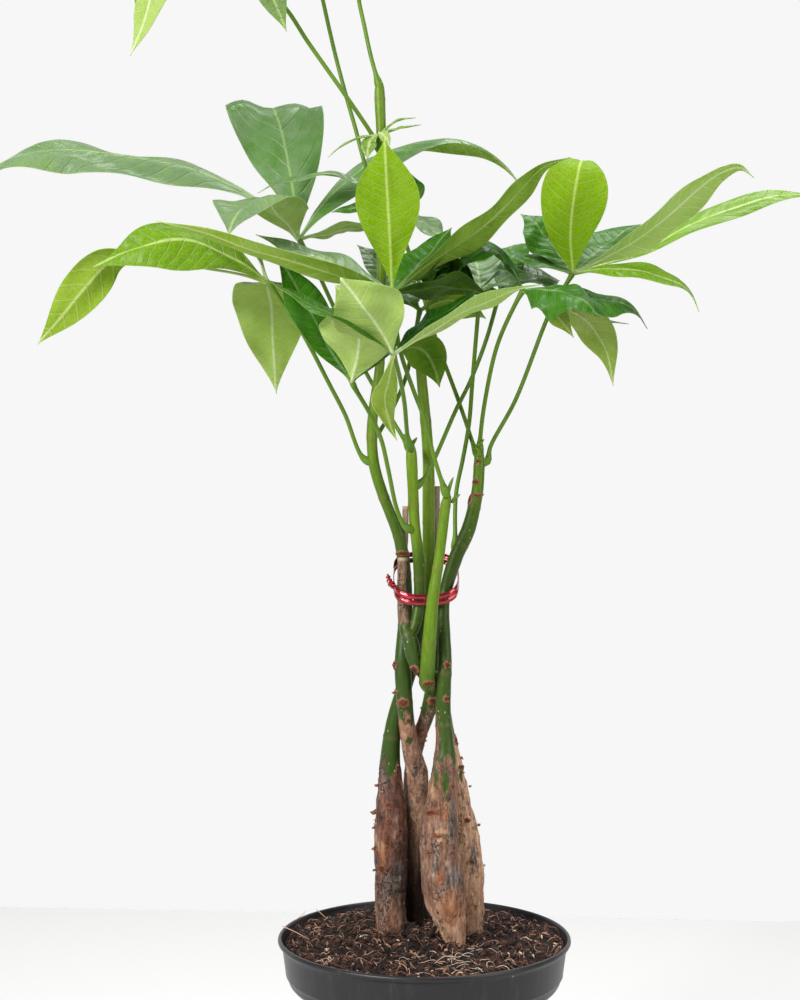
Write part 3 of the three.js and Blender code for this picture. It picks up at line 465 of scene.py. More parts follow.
# For each trunk: how tan its bark is all over and at its foot, from 0 to 1, how much painted shade darkens
# the foot in the hollow between the others, how rough its bark is, and its branches, scars, patches and
# knobs.
# A branch is how it looks, and its path as [across, up, near, radius]. Its looks are the height up to which
# it has brown bark, how soft that border is, how fresh the green is at its foot and at its end, from 0 for
# old and dark to 1 for young and yellow-green, the share of its length where it starts to freshen, and the
# heights between which it is dead, dry wood.
# Corky scars with raised lips are [across, up, half width, half height], seen from the front. Patches have
# a kind as well: green skin that shows through the bark, bark on a green stem, grey or rusty weathered
# bark, pale bare wood and dark cracks. Knobs, left by lost twigs, are [across, up, near, size].
TRUNKS = {
    "trunk_left": dict(
        bark_tan=0.0, foot_tan=0.2, foot_painted_shade=0.0, rough=0.8,
        branches=[
            ((246, 2, 0.05, 0.68, 0.5, None), [[-18.5, 106, -20, 3.5], [-18.5, 146.5, -20, 8.8],
              [-19.5, 167, -20, 8.8], [-19.5, 187, -20, 9.5], [-19.5, 202.5, -19, 10],
              [-19.5, 225, -18, 8.4], [-20, 245.5, -17, 6.4], [-19, 263, -15, 5.2],
              [-16.5, 277.5, -13, 4.6], [-13, 289, -12, 4.5], [-8, 305, -12, 4.3], [-3.5, 321, -11, 4.1],
              [0.5, 344.5, -8, 3.7], [2.5, 374, -8, 3.6], [2.5, 404, -8, 3.6], [2.5, 424, -9, 3.4],
              [1, 446.5, -10, 3.2], [-2, 479.5, -12, 3], [-3, 501.5, -14, 2.6]]),
        ],
        scars=[[-20.5, 225, 3.4, 2], [-30.4, 217.5, 2.4, 3], [-24.5, 188, 2.4, 3], [-14, 210, 2, 1.6],
               [-21, 216, 1.6, 1.2], [-30, 239, 1.6, 1.6], [-28, 200, 1.4, 2]],
        patches=[[-20, 244.6, 2, 6, "green"], [-14.7, 184, 3.6, 9, "grey"], [-23.5, 196, 2, 6, "rust"],
                 [-16, 175, 5.5, 0.7, "dark"]],
        knobs=[[-28.6, 221, -18, 2.3], [-28, 236.5, -17, 1.3], [-29, 212, -18, 1.4],
               [-29.3, 199.5, -18, 1.2], [-29, 187, -18, 1]],
    ),
    "trunk_middle": dict(
        bark_tan=0.4, foot_tan=0.0, foot_painted_shade=0.88, rough=0.4,
        branches=[
            ((276, 2, 0.05, 0.65, 0.42, None), [[-6.5, 106, -31, 3.5], [-6, 152.5, -31, 5.5],
              [-5.5, 181.5, -31, 6], [-5, 204, -29, 6.2], [-4, 234, -22, 6.6], [-4, 242.5, -19, 6.5],
              [-8, 259.5, -10, 5.2], [-10.5, 275, -4, 4.7], [-11.5, 286, -1, 4.7], [-12.5, 306.5, 0, 4.8],
              [-12, 321, -2, 4.2], [-10.5, 344.5, -9, 3.8], [-12.5, 370.5, -8, 3.7], [-15, 382.5, -7, 3.5],
              [-19.5, 394, -6, 3.2], [-24.5, 407, -5, 3.2], [-29, 422.5, -5, 3.2], [-30.5, 438.5, -5, 3.1],
              [-29.5, 455, -4, 3], [-26, 479.5, -4, 2.8], [-25, 519, -4, 2.7], [-25, 577, -4, 2.7],
              [-25, 612, -3, 2.8], [-26, 641, -3, 2.9], [-26, 645.5, -3, 2]]),
            ((0, 1, 0, 0, 0, (360, 420)), [[-12.5, 366.5, -9, 2.4], [-11, 385, -9, 1.9],
              [-11, 399, -9, 1.7]]),
        ],
        scars=[[-12.2, 284.5, 3.4, 3], [-17.5, 306.5, 2, 2.4], [-17, 290.8, 1.8, 1.8],
               [-12.4, 371.5, 4.5, 1.4], [-9.5, 274, 1.8, 1.4], [-5, 247, 1.6, 1.2]],
        patches=[[-8.5, 262.3, 2, 2.2, "green"], [-5, 246, 2.4, 5, "grey"]],
        knobs=[[-17.3, 290.5, 0, 1.3], [-17.8, 306.4, 2, 1.2]],
    ),
    "trunk_front": dict(
        bark_tan=0.2, foot_tan=0.95, foot_painted_shade=0.0, rough=0.8,
        branches=[
            ((252, 2, 0.08, 0.5, 0.75, None), [[19, 106, 13, 3.5], [18, 145.5, 12, 5.8],
              [15.5, 157.5, 12, 8.8], [12, 171, 12, 11.6], [10, 186, 12, 11.8], [9, 204, 12, 10.9],
              [10, 225, 11, 9.3], [12, 246.5, 10, 7.2], [12, 260, 9, 5.4], [11, 277.5, 8, 4.5],
              [11.5, 295, 8, 4.1], [12, 309.5, 7, 4], [11.5, 324, 5, 3.7], [11.5, 344.5, 2, 3.5],
              [18.5, 369.5, 2, 4.1], [25.5, 385, 2, 4.1], [28.5, 396, 2, 3.8], [31, 408.5, 2, 3.4],
              [32, 423, 2, 3.2], [32, 430.5, 2, 2.6]]),
        ],
        scars=[[4.5, 220.4, 4.6, 2], [12.7, 286.8, 1.8, 2], [13.2, 306.5, 2, 2.6], [26.2, 402.5, 1.9, 3.2],
               [30.1, 413, 2, 1.4], [31.2, 405.4, 4, 0.9], [7.5, 207, 2.8, 1.6], [16, 236, 1.4, 1.4],
               [4.5, 197.5, 1.4, 1], [31.5, 425, 1.8, 0.8]],
        patches=[[6.9, 240.8, 1.4, 5, "green"], [12.4, 238, 2.1, 9, "green"], [7.3, 262.3, 1.8, 14, "bark"],
                 [16.9, 183, 5.4, 7.5, "grey"], [8.6, 182, 2.8, 4.5, "rust"], [16, 216, 2.2, 13, "grey"],
                 [10.9, 209.5, 4, 1.5, "pale"], [8.6, 204.9, 1.7, 1.7, "pale"], [6, 190, 2, 9, "grey"],
                 [12.5, 220, 2, 5, "rust"], [16, 165, 7, 11, "rust"], [18.5, 160.5, 3, 0.5, "dark"]],
        knobs=[],
    ),
    "trunk_right": dict(
        bark_tan=0.95, foot_tan=0.8, foot_painted_shade=0.0, rough=1.0,
        branches=[
            ((262, 2, 0.0, 0.1, 0.5, (372, 420)), [[25, 106, -8, 3.5], [25.5, 148, -8, 8.4],
              [25, 168, -8, 9.8], [24, 190.5, -8, 10], [22.5, 208, -9, 9], [19, 229, -11, 7.6],
              [16.5, 247.5, -13, 6], [13.5, 264, -16, 4.8], [10.5, 286, -19, 4], [8.5, 315, -18, 3.2],
              [7.5, 344.5, -11, 2.6], [7, 367.5, -12.4, 2.2], [7, 410.5, -14, 2.2]]),
        ],
        scars=[[18.8, 263, 2, 4], [21.5, 247, 2.4, 1.2], [25, 216, 1.6, 1.4], [27.5, 192, 1.4, 1.2]],
        patches=[[21.4, 241.9, 1, 5, "green"], [24, 225, 1.4, 7, "pale"], [29, 195, 1.6, 9, "grey"]],
        knobs=[[21.4, 252.4, -13, 1.3], [26.5, 236, -11, 1], [31.6, 213.5, -9, 1.2]],
    ),
    "trunk_back": dict(
        bark_tan=0.2, foot_tan=0.0, foot_painted_shade=0.9, rough=0.4,
        branches=[
            ((280, 2, 0.05, 0.1, 0.5, None), [[-2, 106, -45, 3.5], [-2, 152.5, -45, 5],
              [-3.5, 181.5, -45, 5.4], [-6, 210.5, -43, 5.2], [-7.5, 234, -37, 4.9],
              [-6.5, 248.5, -29, 4.6], [-4, 261.5, -22, 4.3], [1, 275.5, -12, 4.2], [4.5, 288, -5, 4.8],
              [6, 298, -3, 4.4], [5, 302.5, -3, 3]]),
            ((0, 1, 0.42, 0.62, 0.1, None), [[3.5, 292, -3, 3.4], [1.5, 296.5, 6, 4.4], [2, 306.5, 13, 4.3],
              [3, 321, 16, 4], [5, 344.5, 18, 3.4], [8.5, 367.5, 18, 2.9], [11, 387.5, 19, 2.9],
              [12.5, 400, 20, 2.8], [13.5, 405, 21, 2.3]]),
            ((0, 1, 0.05, 0.1, 0.2, (331, 380)), [[4, 296.5, -3, 3.4], [0, 301.5, 5, 3.8],
              [-5.5, 309.5, 10, 4.4], [-8, 320, 11, 4.6], [-11, 329, 8, 3.8], [-12.5, 344.5, 2, 3.2],
              [-12.5, 369, 1, 3]]),
            ((0, 1, 0.2, 0.7, 0.35, None), [[-10.5, 321, 11, 3], [-6, 328, 9, 3.2], [-3, 344.5, 5, 3.2],
              [-3.5, 370.5, 5, 3.3], [-5.5, 387.5, 6, 3.1], [-6.5, 407, 8, 3.1], [-7.5, 431, 10, 2.9],
              [-7.5, 434, 10, 2]]),
        ],
        scars=[[5.5, 285.5, 4, 2.4], [2.5, 296, 4, 1.4], [-5.9, 303.5, 3, 3.2]],
        patches=[[4, 272, 1.5, 4, "green"]],
        knobs=[],
    ),
}
# Buds and papery scales at the nodes, as [across, up, near, reach across, reach up]
BUDS = [
    [13.5, 404, 22, 3.5, 12], [16, 401, 20, 5, 5], [12, 409, 25, -4, 9], [32.5, 428, 5, -3, 6],
    [30, 431, 3, 5, 7], [-7.5, 433, 12, 3.5, 6], [-9, 436, 10, -3, 5], [-25, 606, 1, -4, 6],
]


def bell(x, middle, width):
    """1 at the middle, falling off to both sides as exp of minus the square of distance over width."""
    return np.exp(-((np.asarray(x) - middle) / width) ** 2)


def stem(trunk, look, points, sides):
    """One branch of a trunk: a rod along the smooth path through its points. Its surface is pushed out
    by furrows and flakes where there is bark, by nodes and soft swellings where it is green, and by the
    lips of its scars. Its values say how much of bark, dry wood, scar, tan, dark and so on there is; dark
    is painted shade at the foot in the hollow between the trunks, and dark cracks."""
    places = seen(points)
    length = steps(places).sum()
    path = smooth_path(places, max(int(length / STEM_STEP), 12))
    surface = tube(path, path[:, 3], sides)
    out = unit(surface - path[:, None, :3])
    up_z = surface[..., 2]
    top, soft, young_foot, young_end, freshens, dead = look
    wander = 4.5 * waves(surface * [1, 1, 0.2], 5, 21) + 2 * waves(surface * [1, 1, 0.4], 2.4, 22)
    bark = 1 - ease(up_z + wander, top - soft, top + soft)
    dry = np.zeros_like(up_z)
    if dead:
        dry = ease(up_z + 0.3 * wander, dead[0] - 1, dead[0] + 1) * (1 - ease(up_z, dead[1], dead[1] + 1))
    furrows = 0.8 * waves(surface * [1, 1, 0.25], 2.8, 23) + 0.5 * waves(surface * [1, 1, 0.4], 1.5, 24)
    flakes = ease(waves(surface * [1, 1, 0.6], 4.5, 27), 0.4, 0.7) - ease(waves(surface, 3, 28), 0.7, 1)
    lumps = waves(surface, 11, 25)
    scar = np.zeros(surface.shape[:2])
    facing = ease(-out[..., 1], -0.15, 0.25)
    across = EYE_X + (surface[..., 0] - EYE_X) * EYE_Y / (EYE_Y - surface[..., 1])
    up = EYE_Z + (up_z - EYE_Z) * EYE_Y / (EYE_Y - surface[..., 1])

    def apart(x, z, half_wide, half_high):
        """The distance from a mark's middle, counted in its half width and half height."""
        return np.hypot((across - x) / half_wide, (up - z) / half_high)

    for mark in trunk["scars"]:
        ragged = apart(*mark) + 0.16 * waves(surface, 1.8, 26)
        scar = np.maximum(scar, facing * (1 - ease(ragged, 0.2, 1.3)))
    spots = {kind: np.zeros_like(up_z) for kind in ("green", "bark", "grey", "rust", "pale", "dark")}
    for *mark, kind in trunk["patches"]:
        ragged = apart(*mark) + 0.35 * waves(surface * [1, 1, 0.4], 1.6, 29)
        spots[kind] = np.maximum(spots[kind], facing * (1 - ease(ragged, 0.72, 1.12)))
    bark = np.maximum(bark * (1 - spots["green"]), spots["bark"])
    run = np.linspace(0, length, len(path))[:, None]
    node = bell((run + 9 * np.sin(run / 23)) % 31, 15, 1.3) * ease(up_z, top, top + 12) * (1 - dry)
    wooden = np.maximum(bark, 0.6 * dry)
    push = wooden * trunk["rough"] * (0.2 * furrows + 0.3 * lumps + 0.28 * flakes + 0.2 * spots["pale"])
    push = push + (1 - wooden) * 0.06 * lumps + 0.28 * node
    push = push + 1.1 * bell(scar, 0.5, 0.25) + 0.35 * ease(scar, 0.6, 1)
    ends = ease(np.arange(len(path)), 0, 3) * ease(np.arange(len(path))[::-1], 0, 2)
    surface = surface + out * (push * ends[:, None] * np.minimum(path[:, 3:4] / 5, 1))[..., None]
    fresh = young_foot + (young_end - young_foot) * ease(run, freshens * length, (freshens + 0.25) * length)
    foot = 1 - ease(up_z + wander, 158, 182)
    tan = trunk["bark_tan"] + (trunk["foot_tan"] - trunk["bark_tan"]) * foot
    tan = np.maximum(tan, dry * ease(run, length - 3, length - 1))
    tan = np.maximum(tan * (1 - spots["grey"]), spots["pale"])
    # dark: painted shade on the foot of a trunk that stands in the hollow between the others, and dark
    # cracks
    dark = np.maximum(trunk["foot_painted_shade"] * (1 - ease(up_z + 0.5 * wander, 165, 222)), 0.9 * spots["dark"])
    values = {"bark": bark, "dry": dry, "scar": scar, "fresh": fresh, "node": node, "tan": tan,
              "dark": dark, "grey": spots["grey"], "rust": spots["rust"]}
    return {"points": surface, "values": values}


def bud(x, z, near, reach_x, reach_z):
    """A bud or scale: a slim cone, widest at a third of its length, that bends outwards."""
    path = smooth_path(seen([[x, z, near], [x + 0.35 * reach_x, z + 0.5 * reach_z, near + 1.5],
                             [x + reach_x, z + reach_z, near + 1]]), BUD_ROWS)
    share = np.linspace(0, 1, BUD_ROWS)
    radius = 1.5 * (1 - share) ** 0.8 * (0.55 + 1.4 * share) + 0.06
    return {"points": tube(path, radius, 10, 0.7), "values": {"fresh": 0.55, "tan": 0.5 * share[:, None]}}


def cells(tree, place, scale, feature="DISTANCE_TO_EDGE"):
    """The distance from the borders of a pattern of random cells, or with F1 from their middles."""
    return add(tree, "TexVoronoi", {"feature": feature}, Vector=place, Scale=scale).outputs["Distance"]


bark_skin, tree = new_material("bark_and_green_stem")
spot = add(tree, "TexCoord").outputs["Object"]
is_bark, is_dry, is_scar, is_fresh, is_node, is_tan, is_shade_or_crack, is_grey, is_rust = [
    point_value(tree, key)
    for key in ("bark", "dry", "scar", "fresh", "node", "tan", "dark", "grey", "rust")]
half_way = scaled(tree, spot, 0.45)
elsewhere = add(tree, "Mapping", Vector=half_way, Location=(0.3, 0.7, 0.1)).outputs["Vector"]
patchy = noise(tree, half_way, 95, 6, 0.62)
patchy_two = noise(tree, elsewhere, 120, 5, 0.6)
streaks = noise(tree, scaled(tree, spot, 0.24), 470, 8, 0.75)
grain = noise(tree, half_way, 1500, 5, 0.7)
swirls = add(tree, "TexNoise", Vector=spot, Scale=300, Detail=3).outputs["Color"]
bent = mix(tree, 0.012, half_way, swirls, "ADD")
splits = spread(tree, cells(tree, bent, 210), (0, 0.07), (1, 0))
splits = calc(tree, "MULTIPLY", splits, ramp(tree, patchy_two, (0.46, 0), (0.6, 1)))
brown = ramp(tree, streaks, (0.31, "281a15"), (0.42, "583d33"), (0.53, "725146"), (0.63, "8a6858"),
             (0.78, "c8ac94"))
for cloud, start, stop, words in [
    (patchy, (0.5, 0), (0.6, 0.6), "805038"),
    (patchy_two, (0.55, 0), (0.63, 0.55), "8c807a"),
    (patchy, (0.33, 0.75), (0.42, 0), "4c4440"),
    (patchy_two, (0.34, 0.65), (0.42, 0), "b3987f"),
]:
    brown = mix(tree, ramp(tree, cloud, start, stop), brown, words)
tan = ramp(tree, streaks, (0.34, "805440"), (0.44, "b2876a"), (0.54, "cfa686"), (0.68, "ecd0b0"))
brown = mix(tree, is_tan, brown, tan)
grey = ramp(tree, streaks, (0.38, "3a332f"), (0.52, "766c64"), (0.66, "aca195"))
brown = mix(tree, calc(tree, "MULTIPLY", is_grey, 0.9), brown, grey)
rust = ramp(tree, streaks, (0.38, "7c4a30"), (0.52, "a8704c"), (0.66, "c89870"))
brown = mix(tree, calc(tree, "MULTIPLY", is_rust, 0.8), brown, rust)
green = ramp(tree, is_fresh, (0, "2f4416"), (0.3, "405a10"), (0.6, "5a7816"), (0.85, "76921e"),
             (1, "94ae30"))
green = mix(tree, 1.0, green, spread(tree, streaks, (0.3, 0.7), (0.74, 1.22)), "MULTIPLY")
pores = spread(tree, cells(tree, scaled(tree, spot, 0.7), 250, "F1"), (0.05, 0.13), (0.6, 0))
older = spread(tree, is_fresh, (0.15, 0.5), (1, 0))
green = mix(tree, calc(tree, "MULTIPLY", pores, older), green, "c3c6a0")
green = mix(tree, calc(tree, "MULTIPLY", is_node, 0.3), green, "6d5a34")
tone = mix(tree, is_bark, green, brown)
dead = ramp(tree, streaks, (0.38, "2a1d15"), (0.48, "614835"), (0.6, "8f745c"))
tone = mix(tree, is_dry, tone, mix(tree, is_tan, dead, "b59c84"))
cork = ramp(tree, is_scar, (0.15, "745040"), (0.4, "9c6e52"), (0.58, "7a3826"), (0.9, "3a1812"))
cork = mix(tree, 0.4, cork, ramp(tree, grain, (0.4, "4a241a"), (0.6, "a06c4c")))
tone = mix(tree, spread(tree, is_scar, (0.12, 0.3), (0, 1)), tone, cork)
woody = calc(tree, "MAXIMUM", calc(tree, "MAXIMUM", is_bark, is_dry), is_scar)
tone = mix(tree, calc(tree, "MULTIPLY", splits, woody), tone, "20150f")
# Painted shade: the foot of a trunk in the hollow between the others is darkened towards black, and so are
# dark cracks
tone = mix(tree, is_shade_or_crack, tone, "17100c")
gloss = spread(tree, woody, (0, 1), (0.34, 0.85))
relief = calc(tree, "MULTIPLY_ADD", splits, -0.7, calc(tree, "MULTIPLY_ADD", grain, 0.35, streaks))
relief = calc(tree, "MULTIPLY", relief, calc(tree, "MULTIPLY_ADD", woody, 0.94, 0.06))
shade(tree, Base_Color=tone, Roughness=gloss, Specular_IOR_Level=0.22,
      Normal=bump(tree, relief, 0.0016, 0.9))

for name, trunk in TRUNKS.items():
    patches = [stem(trunk, look, points, BRANCH_SIDES if number else STEM_SIDES)
               for number, (look, points) in enumerate(trunk["branches"])]
    inner = slice(BARE_ROWS, -BARE_ROWS)
    is_barky = patches[0]["values"]["bark"][inner].reshape(-1) > 0.9
    barky = patches[0]["points"][inner].reshape(-1, 3)[is_barky]
    for number in range(FLAKES):
        place = barky[rng.integers(len(barky))]
        # Crumbs of bark low on a trunk in the hollow take its painted shade too
        dark = trunk["foot_painted_shade"] * float(place[2] < 200)
        values = {"bark": 1.0, "dark": dark, "tan": rng.uniform(0, 1)}
        patches.append({"points": pebble(place, rng.uniform(0.3, 0.9), number), "values": values})
    for number, knob in enumerate(trunk["knobs"]):
        lump = pebble(seen([knob])[0, :3], knob[3], number)
        patches.append({"points": lump, "values": {"bark": 1.0, "scar": 0.45}})
    if name == "trunk_middle":
        patches += [bud(*place) for place in BUDS]
    build(name + "_stem", patches, [bark_skin], name)


# Tie
# A flat ribbon of red metal foil on a thin wire, wound twice round the stems to hold them in a
# bunch, lower in front than behind, and twisted shut on the left.
TIE_MIDDLE = (1.1, 2.5)
TIE_HALF = (18.8, 12.9)
TIE_FRONT_HEIGHT = 342.5
TIE_SLOPE = 0.85
TIE_TURNS = 2
TIE_PITCH = 3.4
TIE_WIDTH = 2.9
TIE_THICK = 0.35
TIE_ROWS = 420
TIE_COLUMNS = 9  # on each face of the ribbon
KNOT_ROWS = 60
KNOT_SIDES = 16


def squarish(wave):
    """A sine or cosine pressed outwards, which makes a rounded box of an ellipse."""
    return np.sign(wave) * np.abs(wave) ** (2 / 3)


share = np.linspace(0, 1, TIE_ROWS)
turn = np.pi * (1 + 2 * TIE_TURNS * share * 0.985 + 0.02)
tie_x = TIE_MIDDLE[0] + TIE_HALF[0] * squarish(np.cos(turn))
tie_y = TIE_MIDDLE[1] + TIE_HALF[1] * squarish(np.sin(turn))
tie_z = TIE_FRONT_HEIGHT + TIE_SLOPE * (tie_y - TIE_MIDDLE[1] + TIE_HALF[1]) + TIE_PITCH * share * TIE_TURNS
tie_path = np.stack([tie_x, tie_y, tie_z], axis=1)
tie_along = unit(np.gradient(tie_path, axis=0))
tie_out = unit(np.cross(tie_along, [0, 0, 1]))
tie_up = unit(np.cross(tie_out, tie_along))
section = np.linspace(-0.5, 0.5, TIE_COLUMNS)
band = np.concatenate([section, section[::-1]])
face = np.repeat([0.5, -0.5], TIE_COLUMNS)
ribbon = tie_path[:, None] + tie_up[:, None] * (band * TIE_WIDTH)[:, None]
crinkle = 0.07 * waves(ribbon, 3.5, 31) + 0.03 * waves(ribbon, 1.4, 32) + 0.3 * bell(band, 0, 0.14)
ribbon = ribbon + tie_out[:, None] * (face * TIE_THICK + crinkle)[..., None]
knot_points = [[-17.2, 352, 0], [-19, 353.5, 2], [-20.4, 356, 3], [-21.4, 359.5, 3]]
knot_path = smooth_path(seen(knot_points), KNOT_ROWS)
knot_size = np.interp(np.linspace(0, 1, KNOT_ROWS), [0, 0.35, 0.8, 1], [1.5, 1.9, 1.2, 0.5])
knot = tube(knot_path, knot_size, KNOT_SIDES)
twist = 0.3 * np.sin(np.linspace(0, 9 * np.pi, KNOT_ROWS)[:, None] + 2 * circle(KNOT_SIDES))
knot = knot + unit(knot - knot_path[:, None]) * twist[..., None]

foil, tree = new_material("red_foil")
spot = add(tree, "TexCoord").outputs["Object"]
creases = noise(tree, spot, 900, 3, 0.6)
tone = ramp(tree, noise(tree, spot, 160, 2), (0.35, "840818"), (0.6, "b40c26"))
shade(tree, Base_Color=tone, Metallic=0.8, Roughness=0.2, Coat_Weight=1.0, Coat_Roughness=0.08,
      Normal=bump(tree, creases, 0.00012, 0.5))
build("foil_tie", [{"points": ribbon}, {"points": knot}], [foil], "tie")


# Leaves
# Each leaf is a long green stalk that carries leaflets spread like the fingers of a hand. A leaflet
# is a thin, slightly leathery oval with a drip tip: deep green and waxy above, paler and matt below,
# with a raised pale midrib and side veins between which the blade swells a little.
BLADE_FOLD = 0.12
BLADE_PEAK = 0.57
BLADE_STEP = 1.9  # between the rows of a blade
BLADE_ROWS = (22, 96)  # at least and at most
BLADE_COLUMNS = 19  # on each face of a blade
BLADE_UV = 0.01  # the uv of a blade is in decimetres
VEIN_SPACING = 6.2  # along the midrib of a short blade
VEINS_LONG = 14  # on each side of a long blade, whose veins stand further apart
VEIN_SPACING_MOST = 14
STALK_TINT = 0.5
STALK_STEP = 1.6  # between the rows of a stalk
STALK_SIDES = 14
